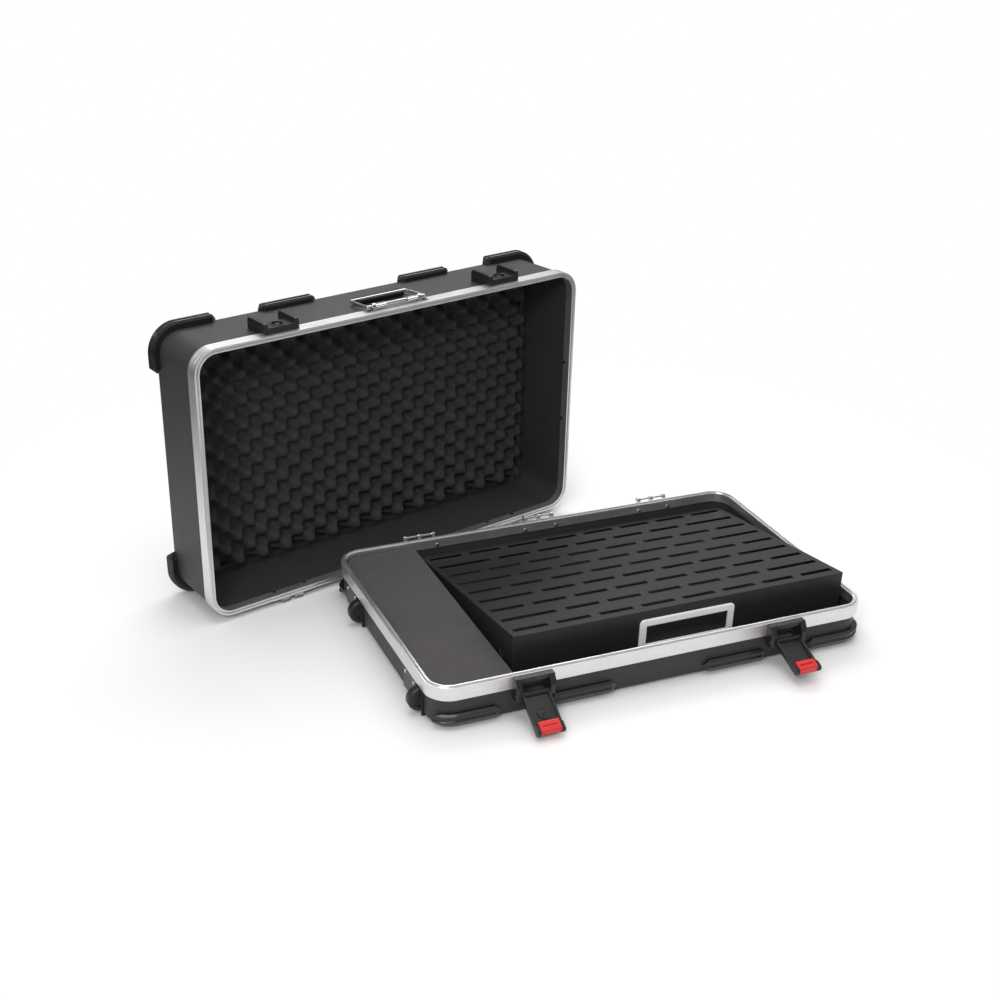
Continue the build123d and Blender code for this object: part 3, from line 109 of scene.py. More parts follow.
class Nodes:
    """A node tree of any kind, filled through one method."""

    def __init__(self, tree: bpy.types.NodeTree) -> None:
        """Wrap a tree."""
        self.tree = tree

    def node(self, kind: str, settings: Optional[Dict[str, object]] = None,
             inputs: Optional[Dict[Union[int, str], object]] = None) -> bpy.types.Node:
        """Add a node of any kind.

        Args:
            kind: the node's type name.
            settings: properties of the node, set before its sockets.
            inputs: socket names or numbers, each with a value or an output.

        Returns:
            The new node.
        """
        made = self.tree.nodes.new(kind)
        for key, value in (settings or {}).items():
            setattr(made, key, value)
        for key, value in (inputs or {}).items():
            self.feed(made.inputs[key], value)
        return made

    def feed(self, target: bpy.types.NodeSocket, value: object) -> None:
        """Link or set one input.

        Args:
            target: the input.
            value: the output that drives it, or the value it gets.
        """
        source = value.link if isinstance(value, Socket) else value
        if isinstance(source, bpy.types.NodeSocket):
            self.tree.links.new(source, target)
        else:
            target.default_value = source

    def out(self, made: bpy.types.Node, key: Union[int, str] = 0) -> Socket:
        """One output of a node, for an expression."""
        return Socket(self, made.outputs[key])

    def maths(self, operation: str, *values: Number) -> Socket:
        """The result of one Math node."""
        return self.out(self.node("ShaderNodeMath", {"operation": operation}, dict(enumerate(values))))

    def smooth_step(self, value: Number, start: float, end: float, low: float = 0.0,
                    high: float = 1.0) -> Socket:
        """A soft change between two levels.

        Args:
            value: what is followed.
            start: the value at which the change begins.
            end: the value at which it is over.
            low: the level before it.
            high: the level after it.

        Returns:
            The level.
        """
        made = self.node("ShaderNodeMapRange", {"interpolation_type": "SMOOTHSTEP"}, {
            "Value": value, "From Min": start, "From Max": end, "To Min": low, "To Max": high})
        return self.out(made)


class Graph(Nodes):
    """The node tree of one material, with its Principled shader."""

    BEVEL_SAMPLES = 4
    EDGE_SHADING_SAMPLES = 6
    FLAT, SHARP = 0.998, 0.92  # how alike the softened and the true normal are, off and on an edge

    def __init__(self, name: str) -> None:
        """Start a material of this name.

        Args:
            name: what the material is called.
        """
        self.material = bpy.data.materials.new(name)
        self.material.use_nodes = True
        super().__init__(self.material.node_tree)
        self.shader = next(node for node in self.tree.nodes if node.type == "BSDF_PRINCIPLED")
        self.place = self.node("ShaderNodeTexCoord").outputs["Object"]

    def noise(self, scale: float, detail: float = 2.0,
              stretch: Tuple[float, float, float] = (1.0, 1.0, 1.0), turn: float = 0.0) -> Socket:
        """Noise between nought and one.

        Args:
            scale: features per metre.
            detail: how many finer layers it has.
            stretch: share of the scale that each axis keeps.
            turn: angle about the vertical by which those axes are turned.

        Returns:
            The noise.
        """
        place = self.place
        if turn:
            place = self.node("ShaderNodeMapping", {}, {"Vector": place,
                                                        "Rotation": (0.0, 0.0, -turn)}).outputs[0]
        mapped = self.node("ShaderNodeMapping", {}, {"Vector": place, "Scale": stretch})
        return self.out(self.node("ShaderNodeTexNoise", {}, {
            "Vector": mapped.outputs[0], "Scale": scale, "Detail": detail}))

    def cells(self, scale: float) -> Socket:
        """Distance to the nearest of many scattered points, in cells of a scale per metre."""
        made = self.node("ShaderNodeTexVoronoi", {}, {"Vector": self.place, "Scale": scale})
        return self.out(made, "Distance")

    def mix(self, factor: Number, low: object, high: object) -> bpy.types.NodeSocket:
        """A colour between two colour values or outputs."""
        made = self.node("ShaderNodeMix", {"data_type": "RGBA"}, {0: factor, 6: low, 7: high})
        return made.outputs[2]

    def blend(self, factor: Number, low: Colour, high: Colour) -> bpy.types.NodeSocket:
        """A colour between two tones."""
        return self.mix(factor, (*low, 1.0), (*high, 1.0))

    def bump(self, height: Socket, distance: float, edge: float = 0.0) -> None:
        """Drive the shader's normal from a height between nought and one.

        Args:
            height: the relief, between nought and one.
            distance: how deep it is.
            edge: radius to which sharp edges look broken.
        """
        made = self.node("ShaderNodeBump", {}, {"Height": height, "Distance": distance})
        if edge:
            soft = self.node("ShaderNodeBevel", {"samples": self.BEVEL_SAMPLES}, {"Radius": edge})
            self.feed(made.inputs["Normal"], soft.outputs[0])
        self.feed(self.shader.inputs["Normal"], made.outputs[0])

    def paint_edge_shading(self, colour: bpy.types.NodeSocket, shading_tone: Colour, amount: float,
             radius: float) -> bpy.types.NodeSocket:
        """A colour painted towards a fixed grey along sharp edges, as painted light: a highlight on a
        dark finish, a darker line on a pale one.

        Args:
            colour: the finish's own colour.
            shading_tone: the grey painted along an edge.
            amount: how far the very edge is painted towards that grey, up to one.
            radius: how wide the painted line is.

        Returns:
            The colour with its edges.
        """
        # Painted light: along sharp edges the colour is mixed towards a grey. This is a painted
        # highlight on dark finishes and a darker line on pale ones.
        soft = self.node("ShaderNodeBevel", {"samples": self.EDGE_SHADING_SAMPLES}, {"Radius": radius})
        flat = self.node("ShaderNodeNewGeometry")
        same = self.node("ShaderNodeVectorMath", {"operation": "DOT_PRODUCT"},
                         {0: soft.outputs[0], 1: flat.outputs["Normal"]})
        edge_shading = self.node("ShaderNodeMapRange", {}, {
            "Value": same.outputs["Value"], "From Min": self.FLAT, "From Max": self.SHARP,
            "To Min": 0.0, "To Max": amount})
        return self.mix(edge_shading.outputs[0], colour, (*shading_tone, 1.0))

    def shade(self, **values: object) -> None:
        """Set or link the shader's own sockets, with _ for a space in their names."""
        for key, value in values.items():
            self.feed(self.shader.inputs[key.replace("_", " ")], value)


# ---------------------------------------------------------------- finishes
@dataclass(frozen=True)
class Finish:
    """What every finish has: a name, two tones of its colour and a roughness."""

    name: str
    tone: Colour
    tone_worn: Colour
    rough: float

    def build(self) -> bpy.types.Material:
        """Make the material.

        Returns:
            The material with this finish's nodes.
        """
        graph = Graph(self.name)
        self.dress(graph)
        return graph.material

    def dress(self, graph: Graph) -> None:
        """Add the nodes of this finish to a fresh graph."""
        raise NotImplementedError


@dataclass(frozen=True)
class Moulded(Finish):
    """Moulded plastic with a spark-eroded grain, faint handling marks and, where set, a painted
    highlight along its edges.
    """

    grain_scale: float = 900.0
    grain_height: float = 0.00025
    coat: float = 0.0
    coat_rough: float = 0.12
    edge: float = 0.0008
    # How strongly, and towards which grey, the edges are painted as a highlight.
    edge_shading: float = 0.0
    edge_shading_tone: Colour = (0.46, 0.46, 0.47)
    specular: float = 0.5
    mark_scale: float = 9.0
    mark_share: float = 0.6
    rub_scale: float = 45.0
    rub_stretch: Tuple[float, float, float] = (1.0, 1.0, 0.3)
    rub_gloss: float = 0.12

    def dress(self, graph: Graph) -> None:
        """Grain in the normal, marks in the colour and the gloss, and a painted edge highlight in the
        colour.

        Args:
            graph: the material's fresh graph.
        """
        marks = graph.noise(self.mark_scale, 5.0)
        grain = graph.noise(self.grain_scale, 3.0)
        rub = graph.noise(self.rub_scale, 6.0, self.rub_stretch)
        tint = marks * self.mark_share + rub * (1.0 - self.mark_share)
        colour = graph.blend(tint, self.tone, self.tone_worn)
        # Painted highlight: the edges are painted towards a grey.
        if self.edge_shading:
            colour = graph.paint_edge_shading(colour, self.edge_shading_tone, self.edge_shading, 0.5 * self.edge)
        graph.shade(Base_Color=colour, Roughness=self.rough + (rub - 0.5) * self.rub_gloss,
                    Coat_Weight=self.coat, Coat_Roughness=self.coat_rough,
                    Specular_IOR_Level=self.specular)
        graph.bump(grain, self.grain_height, self.edge)


@dataclass(frozen=True)
class SatinMetal(Finish):
    """Extruded or rolled metal with fine drawing lines."""

    lines: float = 700.0
    stretch: Tuple[float, float, float] = (0.02, 0.02, 1.0)
    turn: float = 0.0
    line_height: float = 0.00001
    line_gloss: float = 0.22
    line_share: float = 0.6
    dull_scale: float = 14.0
    dull_gloss: float = 0.05
    metallic: float = 0.94
    edge: float = 0.0006

    def dress(self, graph: Graph) -> None:
        """Lines along the piece in the gloss and, faintly, in the normal.

        Args:
            graph: the material's fresh graph.
        """
        drawn = graph.noise(self.lines, 3.0, self.stretch, self.turn)
        dull = graph.noise(self.dull_scale, 4.0)
        tint = dull * (1.0 - self.line_share) + drawn * self.line_share
        graph.shade(Base_Color=graph.blend(tint, self.tone, self.tone_worn),
                    Roughness=self.rough + drawn * self.line_gloss + dull * self.dull_gloss,
                    Metallic=self.metallic)
        graph.bump(drawn, self.line_height, self.edge)


@dataclass(frozen=True)
class BrightMetal(Finish):
    """Plated or polished metal with faint smears."""

    smear_scale: float = 60.0
    smear_gloss: float = 0.1

    def dress(self, graph: Graph) -> None:
        """Smears in the colour and the gloss.

        Args:
            graph: the material's fresh graph.
        """
        smear = graph.noise(self.smear_scale, 4.0)
        graph.shade(Base_Color=graph.blend(smear, self.tone, self.tone_worn),
                    Roughness=self.rough + smear * self.smear_gloss, Metallic=1.0)


@dataclass(frozen=True)
class CellFoam(Finish):
    """Open-cell foam: small pits, a speckle and a soft edge light."""

    cell_scale: float = 620.0
    depth: float = 0.0007
    speckle: float = 0.5
    fluff_scale: float = 0.8
    patch_scale: float = 12.0
    patch_share: float = 0.2
    sheen: float = 0.10
    sheen_rough: float = 0.6
    specular: float = 0.25

    def dress(self, graph: Graph) -> None:
        """Pits in the normal and in the colour.

        Args:
            graph: the material's fresh graph.
        """
        pits = graph.cells(self.cell_scale)
        fluff = graph.noise(self.cell_scale * self.fluff_scale, 4.0)
        patch = graph.noise(self.patch_scale, 3.0)
        speckle = pits * self.speckle + fluff * (1.0 - self.speckle)
        tint = speckle * (1.0 - self.patch_share) + patch * self.patch_share
        graph.shade(Base_Color=graph.blend(tint, self.tone, self.tone_worn),
                    Roughness=self.rough, Sheen_Weight=self.sheen, Sheen_Roughness=self.sheen_rough,
                    Specular_IOR_Level=self.specular)
        graph.bump(pits * 0.5 + fluff * 0.5, self.depth)


@dataclass(frozen=True)
class PowderCoat(Finish):
    """Baked powder coat with a fine orange peel and a grey line painted along its edges as painted
    light.
    """

    peel_scale: float = 420.0
    peel_height: float = 0.00010
    haze_scale: float = 16.0
    haze_gloss: float = 0.08
    # How strongly, and towards which grey, the edges are painted: a painted highlight on a dark coat,
    # a darker line on a pale one.
    edge_shading: float = 0.10
    edge_shading_tone: Colour = (0.45, 0.45, 0.45)
    edge: float = 0.0006

    def dress(self, graph: Graph) -> None:
        """Peel in the normal, a slight change of gloss and a painted grey line along the edges.

        Args:
            graph: the material's fresh graph.
        """
        peel = graph.noise(self.peel_scale, 2.0)
        haze = graph.noise(self.haze_scale, 4.0)
        colour = graph.blend(haze, self.tone, self.tone_worn)
        # Painted light: the edges are painted towards a grey. This is a highlight on the black board
        # and a darker edge on the pale bezel.
        graph.shade(Base_Color=graph.paint_edge_shading(colour, self.edge_shading_tone, self.edge_shading, self.edge),
                    Roughness=self.rough + haze * self.haze_gloss)
        graph.bump(peel, self.peel_height, self.edge)


class Palette(Enum):
    """Every finish on the case, by the record's material slot."""

    SHELL = ("shell_plastic", Moulded(
        "shell_grained_black", (0.032, 0.030, 0.030), (0.042, 0.040, 0.039), 0.44,
        grain_scale=620.0, grain_height=0.0006, specular=0.34))
    RIM = ("rim_aluminium", SatinMetal(
        "rim_satin_aluminium", (0.70, 0.70, 0.71), (0.96, 0.96, 0.97), 0.20))
    # The lid's rim is the tray rim's aluminium with its drawing lines turned with the standing lid. It
    # has a lighter tone than the tray rim as painted light, to brighten it.
    LID_RIM_TURNED_AND_PAINTED_LIGHTER = ("lid_rim_aluminium_turned_painted_lighter", SatinMetal(
        "lid_rim_satin_aluminium_turned_painted_lighter", (0.74, 0.74, 0.75), (0.98, 0.98, 0.99), 0.20,
        stretch=(0.02, 1.0, 0.02), turn=LID_YAW))
    # Painted highlight: the bumpers' ribs and edges are painted towards a grey.
    BUMPER = ("bumper_plastic", Moulded(
        "bumper_gloss_black", (0.008, 0.008, 0.009), (0.012, 0.012, 0.013), 0.15,
        grain_scale=500.0, grain_height=0.00002, coat=0.4, edge_shading=0.22))
    BLOCK_FOAM = ("block_foam", CellFoam(
        "foam_block_grey", (0.004, 0.003, 0.0035), (0.098, 0.088, 0.092), 0.95,
        cell_scale=420.0, depth=0.0014))
    LID_FOAM = ("lid_foam", CellFoam(
        "foam_sheet_black", (0.012, 0.012, 0.0128), (0.058, 0.058, 0.062), 0.92,
        cell_scale=520.0, depth=0.0005, sheen=0.0))
    # Painted highlight: the latch's edges are painted towards a grey.
    LATCH = ("latch_plastic", Moulded(
        "latch_satin_black", (0.010, 0.010, 0.011), (0.016, 0.016, 0.017), 0.28,
        grain_height=0.0001, edge_shading=0.20))
    CATCH = ("catch_red", Moulded(
        "catch_red", (0.54, 0.010, 0.014), (0.62, 0.018, 0.020), 0.30,
        grain_scale=600.0, grain_height=0.00006, coat=0.2))
    PIN = ("steel_pin", BrightMetal("pin_steel", (0.50, 0.50, 0.51), (0.60, 0.60, 0.61), 0.22))
    WHEEL = ("wheel_plastic", Moulded(
        "wheel_black", (0.012, 0.012, 0.012), (0.022, 0.022, 0.022), 0.38,
        grain_scale=500.0, grain_height=0.0001))
    CHROME = ("chrome_steel", BrightMetal(
        "chrome_bright", (0.58, 0.58, 0.59), (0.68, 0.68, 0.69), 0.10))
    SPRING = ("spring_steel", BrightMetal(
        "spring_wire", (0.42, 0.42, 0.43), (0.55, 0.55, 0.56), 0.20))
    RIVET = ("rivet_steel", BrightMetal(
        "rivet_bright", (0.62, 0.62, 0.63), (0.72, 0.72, 0.73), 0.18))
    # Painted highlight: the grip's edges are painted towards a grey.
    GRIP = ("grip_rubber", Moulded(
        "grip_black", (0.006, 0.006, 0.006), (0.010, 0.010, 0.010), 0.34,
        grain_scale=700.0, grain_height=0.0001, edge_shading=0.10, specular=0.16))
    # The board and the bezel get the powder coat's painted edge line. It is a highlight on the black
    # board and a darker edge on the pale bezel.
    BOARD = ("board_coat", PowderCoat(
        "board_black_coat", (0.013, 0.0125, 0.012), (0.018, 0.0172, 0.0165), 0.44))
    BEZEL = ("bezel_coat", PowderCoat(
        "bezel_pale_coat", (0.80, 0.81, 0.82), (0.85, 0.86, 0.87), 0.36))
    FOOT = ("foot_rubber", Moulded(
        "foot_black", (0.012, 0.012, 0.012), (0.02, 0.02, 0.02), 0.6,
        grain_scale=700.0, grain_height=0.0001))

    def __init__(self, slot: str, finish: Finish) -> None:
        """Keep the slot's name beside its finish."""
        self.slot = slot
        self.finish = finish


def paint(mesh: bpy.types.Mesh, material: bpy.types.Material) -> None:
    """Give a whole mesh one material."""
    mesh.materials.clear()
    mesh.materials.append(material)


class Wardrobe:
    """Makes each finish once and hands it out by slot."""

    OWN_FINISH = {"lid_rivets": Palette.LATCH, "lid_rim": Palette.LID_RIM_TURNED_AND_PAINTED_LIGHTER}

    def __init__(self) -> None:
        """Build every finish of the palette."""
        self.materials = {entry.slot: entry.finish.build() for entry in Palette}

    def dress_frame(self, nodes: Dict[str, bpy.types.Object], record: Dict[str, object]) -> None:
        """Give each fixed node its own finish, or the one that its slot names.

        Args:
            nodes: the fixed nodes by name.
            record: the case's record, with a slot for each node.
        """
        for part in record["subparts"]:
            name = part["node"]
            own = self.OWN_FINISH.get(name)
            material = self.materials[own.slot if own else part["material_slot"]]
            paint(nodes[name].data, material)
            LOG.info("%s: %s", name, material.name)


# ---------------------------------------------------------------- meshes
class Tree(Nodes):
    """A Geometry Nodes tree with named inputs that ends in a plain, painted mesh."""

    def __init__(self, name: str, sizes: Dict[str, float]) -> None:
        """Start a tree whose group has one number input for each size.

        Args:
            name: what the group is called.
            sizes: the inputs' names and values.
        """
        super().__init__(bpy.data.node_groups.new(name, "GeometryNodeTree"))
        self.sizes = sizes
        self.identifiers: Dict[str, str] = {}
        sockets = self.tree.interface
        sockets.new_socket("Geometry", in_out="INPUT", socket_type="NodeSocketGeometry")
        for label, value in sizes.items():
            item = sockets.new_socket(label, in_out="INPUT", socket_type="NodeSocketFloat")
            item.default_value = value
            self.identifiers[label] = item.identifier
        sockets.new_socket("Geometry", in_out="OUTPUT", socket_type="NodeSocketGeometry")
        self.inlet = self.node("NodeGroupInput")

    def size(self, label: str) -> Socket:
        """The group's input of this name."""
        return self.out(self.inlet, label)

    def finish(self, geometry: bpy.types.NodeSocket, material: bpy.types.Material) -> None:
        """End the tree: real geometry, painted with one material.

        Args:
            geometry: what the tree has made.
            material: what it is painted with.
        """
        solid = self.node("GeometryNodeRealizeInstances", {}, {0: geometry})
        painted = self.node("GeometryNodeSetMaterial", {}, {"Geometry": solid.outputs[0],
                                                            "Material": material})
        self.node("NodeGroupOutput", {}, {0: painted.outputs[0]})

    def grow(self, name: str, place: Matrix, material: bpy.types.Material) -> bpy.types.Object:
        """Run the tree and keep its result as a plain mesh.

        Args:
            name: the piece's name.
            place: where the tree's own frame lies in the case's frame.
            material: what the piece is painted with.

        Returns:
            An object at the origin whose mesh holds its place.
        """
        seed = lay_out(name + "_seed", bpy.data.meshes.new(name + "_seed"))
        modifier = seed.modifiers.new("tree", "NODES")
        modifier.node_group = self.tree
        for label, value in self.sizes.items():
            modifier[self.identifiers[label]] = value
        bpy.context.view_layer.update()
        depsgraph = bpy.context.evaluated_depsgraph_get()
        mesh = bpy.data.meshes.new_from_object(seed.evaluated_get(depsgraph))
        seed.modifiers.remove(modifier)
        bpy.data.objects.remove(seed)
        mesh.transform(place)
        mesh.name = name
        paint(mesh, material)
        return lay_out(name, mesh)


def lay_out(name: str, data: bpy.types.ID) -> bpy.types.Object:
    """Put an object with this data into the scene, at the origin.

    Args:
        name: the object's name.
        data: its mesh, lamp or camera.

    Returns:
        The object.
    """
    laid = bpy.data.objects.new(name, data)
    bpy.context.scene.collection.objects.link(laid)
    return laid


def smooth_by_angle(piece: bpy.types.Object, degrees: float) -> None:
    """Shade a mesh smooth, with sharp edges above an angle.

    Args:
        piece: the object with the mesh.
        degrees: the angle from which an edge stays sharp.
    """
    mesh = piece.data
    mesh.polygons.foreach_set("use_smooth", [True] * len(mesh.polygons))
    mesh.set_sharp_from_angle(angle=math.radians(degrees))


# ---------------------------------------------------------------- padding
@dataclass(frozen=True)
class LidStand:
    """The shut lid's frame turned, leant and set down behind the tray."""

    x: float = -0.250
    y: float = 0.299003
    lift: float = 0.251529
    yaw: float = LID_YAW
    lean: float = math.radians(0.634713)

    def matrix(self) -> Matrix:
        """From the shut lid's frame to the case's frame."""
        turn = Matrix.Rotation(self.yaw, 4, "Z") @ Matrix.Rotation(-math.pi / 2 - self.lean, 4, "X")
        return Matrix.Translation((self.x, self.y, self.lift)) @ turn


@dataclass
class LidFoam:
    """The profiled foam sheet glued under the lid's top panel."""

    half_length: float = 0.369
    half_depth: float = 0.214
    back: float = 0.1427
    thickness: float = 0.030
    pitch_along: float = 0.0500
    pitch_across: float = 0.0465
    wave: float = 0.025
    crest: float = 0.88
    step: float = 0.0029
    layers: int = 3
    face_share: float = 0.4
    sharp_degrees: float = 50.0
    stand: LidStand = LidStand()

    def tree(self, material: bpy.types.Material) -> Tree:
        """A block whose outer face waves up and down in staggered rows.

        Args:
            material: what the foam is painted with.

        Returns:
            The finished tree.
        """
        tree = Tree("profiled_foam", {
            "Length": 2 * self.half_length, "Depth": 2 * self.half_depth, "Thickness": self.thickness,
            "Pitch along": self.pitch_along, "Pitch across": self.pitch_across, "Wave": self.wave})
        size = tree.node("ShaderNodeCombineXYZ", {}, {0: tree.size("Length"), 1: tree.size("Depth"),
                                                      2: tree.size("Thickness")})
        block = tree.node("GeometryNodeMeshCube", {}, {
            "Size": size.outputs[0], "Vertices X": int(2 * self.half_length / self.step),
            "Vertices Y": int(2 * self.half_depth / self.step), "Vertices Z": self.layers})
        position = tree.node("GeometryNodeInputPosition")
        place = tree.node("ShaderNodeSeparateXYZ", {}, {0: position.outputs[0]})
        turns_along = tree.out(place, "X") / tree.size("Pitch along")
        turns_across = tree.out(place, "Y") / tree.size("Pitch across")
        hill = (tree.maths("COSINE", turns_along * math.tau)
                * tree.maths("COSINE", turns_across * math.tau))
        drop = tree.smooth_step(hill, -self.crest, self.crest, 1.0, 0.0)
        outer_face = tree.maths("LESS_THAN", place.outputs["Z"],
                                tree.size("Thickness") * -self.face_share)
        shift = tree.node("ShaderNodeCombineXYZ", {}, {2: drop * tree.size("Wave") * outer_face})
        moved = tree.node("GeometryNodeSetPosition", {}, {"Geometry": block.outputs[0],
                                                          "Offset": shift.outputs[0]})
        tree.finish(moved.outputs[0], material)
        return tree

    def build(self, wardrobe: Wardrobe) -> bpy.types.Object:
        """Make the sheet in place of its plain solid.

        Args:
            wardrobe: the finishes.

        Returns:
            The dressed piece.
        """
        material = wardrobe.materials["lid_foam"]
        middle = Matrix.Translation((0.0, 0.0, self.back - self.thickness / 2))
        piece = self.tree(material).grow("lid_profiled_foam", self.stand.matrix() @ middle, material)
        smooth_by_angle(piece, self.sharp_degrees)
        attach(piece, "lid")
        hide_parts("lid_foam_sheet")
        LOG.info("lid_profiled_foam: %d faces", len(piece.data.polygons))
        return piece


@dataclass
class TrayPadding:
    """The foam block and the thin mat in the tray."""

    edge: float = 0.0016
    segments: int = 3
    same_point: float = 1e-6
    flat_degrees: float = 2.0
    sharp_degrees: float = 40.0

    def cut_from(self, node: bpy.types.Object, name: str, slot: str,
                 wardrobe: Wardrobe) -> bpy.types.Object:
        """A copy of a plain foam solid with softened edges.

        Args:
            node: the plain solid that the piece stands for.
            name: the piece's name.
            slot: the material slot it takes its finish from.
            wardrobe: the finishes.

        Returns:
            The dressed piece.
        """
        mesh = node.data.copy()
        mesh.name = name
        shape = bmesh.new()
        shape.from_mesh(mesh)
        bmesh.ops.remove_doubles(shape, verts=shape.verts, dist=self.same_point)
        bmesh.ops.dissolve_limit(shape, angle_limit=math.radians(self.flat_degrees), verts=shape.verts,
                                 edges=shape.edges)
        sharp = [edge for edge in shape.edges
                 if edge.is_manifold and edge.calc_face_angle(0.0) > math.radians(self.sharp_degrees)]
        bmesh.ops.bevel(shape, geom=sharp, offset=self.edge, segments=self.segments, affect="EDGES",
                        profile=0.5, clamp_overlap=True)
        shape.to_mesh(mesh)
        shape.free()
        paint(mesh, wardrobe.materials[slot])
        piece = lay_out(name, mesh)
        smooth_by_angle(piece, self.sharp_degrees)
        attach(piece, "tray")
        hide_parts(node.name)
        LOG.info("%s: %d faces", name, len(mesh.polygons))
        return piece

    def build(self, nodes: Dict[str, bpy.types.Object], wardrobe: Wardrobe) -> None:
        """Make the block and the mat."""
        self.cut_from(nodes["base_foam_block"], "tray_foam_block", "block_foam", wardrobe)
        self.cut_from(nodes["base_foam_liner"], "tray_foam_mat", "lid_foam", wardrobe)


# ---------------------------------------------------------------- studio
@dataclass(frozen=True)
class Softbox:
    """A soft rectangular lamp and the point it faces."""

    name: str
    place: Point
    aim: Point
    size: Tuple[float, float]
    watts: float

    def hang(self) -> None:
        """Add the lamp to the scene."""
        data = bpy.data.lights.new(self.name, "AREA")
        data.shape = "RECTANGLE"
        data.size, data.size_y = self.size
        data.energy = self.watts
        lamp = lay_out(self.name, data)
        lamp.location = self.place
        way = Vector(self.aim) - Vector(self.place)
        lamp.rotation_euler = way.to_track_quat("-Z", "Y").to_euler()
        LOG.info("lamp %s", self.name)


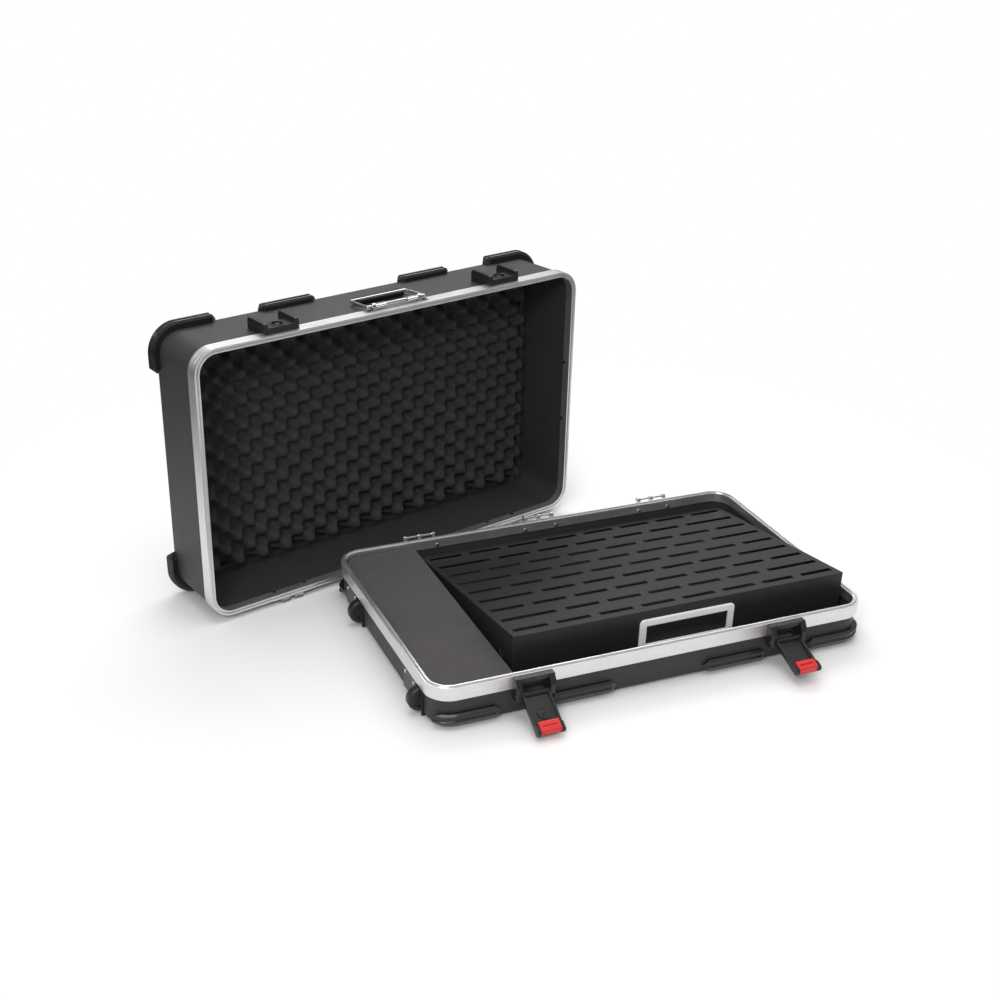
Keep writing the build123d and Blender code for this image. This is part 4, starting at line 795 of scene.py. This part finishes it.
@dataclass
class Studio:
    """The floor, the lamps, the sky and the camera."""

    floor_half: float = 30.0
    floor_level: float = -0.0006
    floor_tone: Colour = (0.76, 0.745, 0.74)
    floor_middle: Tuple[float, float] = (-0.10, 0.10)
    white_from: float = 0.60
    white_to: float = 1.30
    mirrored_near: Colour = (0.66, 0.645, 0.64)
    mirrored_far: Colour = (0.06, 0.06, 0.06)
    mirrored_from: float = 0.76
    mirrored_to: float = 1.60
    camera_place: Point = (-1.0983, -2.0407, 1.3363)
    azimuth: float = -0.425
    elevation: float = 0.501
    roll: float = 0.036
    lens: float = 54.50
    sensor: float = 36.0
    sight: float = 100.0
    shift: Tuple[float, float] = (-0.0051, 0.0768)
    sky_low: float = 0.36
    sky_high: float = 0.95
    sky_top: float = 0.9
    mirrored_sky: float = 0.55
    lamps: Tuple[Softbox, ...] = (
        Softbox("back_softbox", (0.55, 1.75, 2.2), (-0.1, 0.1, 0.15), (2.4, 1.2), 33.0),
        Softbox("overhead_softbox", (-0.4, -0.2, 2.8), (-0.1, 0.1, 0.1), (1.8, 1.6), 22.0),
        Softbox("front_softbox", (-1.9, -2.2, 2.2), (-0.25, 0.2, 0.25), (0.9, 0.40), 36.0))

    def camera(self) -> None:
        """Put the camera where the case is seen from."""
        data = bpy.data.cameras.new("camera")
        data.lens = self.lens
        data.sensor_width = self.sensor
        data.shift_x, data.shift_y = self.shift
        data.clip_end = self.sight
        a, e, r = self.azimuth, self.elevation, self.roll
        back = Vector((math.sin(a) * math.cos(e), -math.cos(a) * math.cos(e), math.sin(e)))
        right = Vector((math.cos(a), math.sin(a), 0.0))
        up = back.cross(right)
        tilted_right = math.cos(r) * right + math.sin(r) * up
        tilted_up = -math.sin(r) * right + math.cos(r) * up
        turn = Matrix((tilted_right, tilted_up, back)).transposed().to_4x4()
        camera = lay_out("camera", data)
        camera.matrix_world = Matrix.Translation(self.camera_place) @ turn
        bpy.context.scene.camera = camera

    def floor_finish(self) -> bpy.types.Material:
        """A pale floor: white far off, shadowed near the case and dim in far reflections.

        Returns:
            The material.
        """
        graph = Graph("floor_pale")
        path = graph.node("ShaderNodeLightPath")
        reach = graph.node("ShaderNodeVectorMath", {"operation": "DISTANCE"},
                           {0: graph.place, 1: (*self.floor_middle, 0.0)}).outputs["Value"]
        white = (graph.out(path, "Is Camera Ray")
                 * graph.smooth_step(reach, self.white_from, self.white_to))
        fade = graph.smooth_step(reach, self.mirrored_from, self.mirrored_to)
        light = graph.node("ShaderNodeEmission", {}, {"Color": WHITE, "Strength": 1.0})
        matt = graph.node("ShaderNodeBsdfDiffuse", {}, {"Color": (*self.floor_tone, 1.0)})
        dim = graph.node("ShaderNodeBsdfDiffuse", {}, {
            "Color": graph.blend(fade, self.mirrored_near, self.mirrored_far)})
        laid = graph.node("ShaderNodeMixShader", {}, {
            0: path.outputs["Is Glossy Ray"], 1: matt.outputs[0], 2: dim.outputs[0]})
        total = graph.node("ShaderNodeMixShader", {}, {0: white, 1: laid.outputs[0],
                                                       2: light.outputs[0]})
        graph.tree.nodes.remove(graph.shader)
        outlet = next(node for node in graph.tree.nodes if node.type == "OUTPUT_MATERIAL")
        graph.feed(outlet.inputs["Surface"], total.outputs[0])
        return graph.material

    def floor(self) -> None:
        """Lay the floor just under the case."""
        h, z = self.floor_half, self.floor_level
        mesh = bpy.data.meshes.new("floor")
        mesh.from_pydata([(-h, -h, z), (h, -h, z), (h, h, z), (-h, h, z)], [], [(0, 1, 2, 3)])
        mesh.materials.append(self.floor_finish())
        floor = lay_out("floor", mesh)

    def world(self) -> None:
        """An even pale sky, white where it is seen and dimmer where it is mirrored."""
        world = bpy.data.worlds.new("studio_sky")
        bpy.context.scene.world = world
        world.use_nodes = True
        world.node_tree.nodes.clear()
        sky = Nodes(world.node_tree)
        path = sky.node("ShaderNodeLightPath")
        seen = sky.maths("MAXIMUM", path.outputs["Is Camera Ray"], path.outputs["Is Transmission Ray"])
        way = sky.node("ShaderNodeTexCoord")
        parts = sky.node("ShaderNodeSeparateXYZ", {}, {0: way.outputs["Generated"]})
        rise = sky.smooth_step(parts.outputs["Z"], 0.0, self.sky_top, self.sky_low, self.sky_high)
        dimmed = rise * (1.0 - sky.out(path, "Is Glossy Ray") * (1.0 - self.mirrored_sky))
        strength = sky.node("ShaderNodeMix", {}, {0: seen, 2: dimmed, 3: 1.0})
        light = sky.node("ShaderNodeBackground", {}, {"Color": WHITE, "Strength": strength.outputs[0]})
        sky.node("ShaderNodeOutputWorld", {}, {"Surface": light.outputs[0]})

    def build(self) -> None:
        """Set the whole studio up."""
        self.camera()
        self.floor()
        self.world()
        for lamp in self.lamps:
            lamp.hang()
        bpy.context.scene.view_settings.view_transform = "Standard"
        LOG.info("studio ready")


def main() -> None:
    """Dress the frame, add the made pieces and light the scene."""
    logging.basicConfig(level=logging.INFO, format="%(name)s: %(message)s")
    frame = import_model()
    nodes = frame["nodes"]
    wardrobe = Wardrobe()
    wardrobe.dress_frame(nodes, frame["record"])
    TrayPadding().build(nodes, wardrobe)
    LidFoam().build(wardrobe)
    Studio().build()


if __name__ == "__main__":
    main()
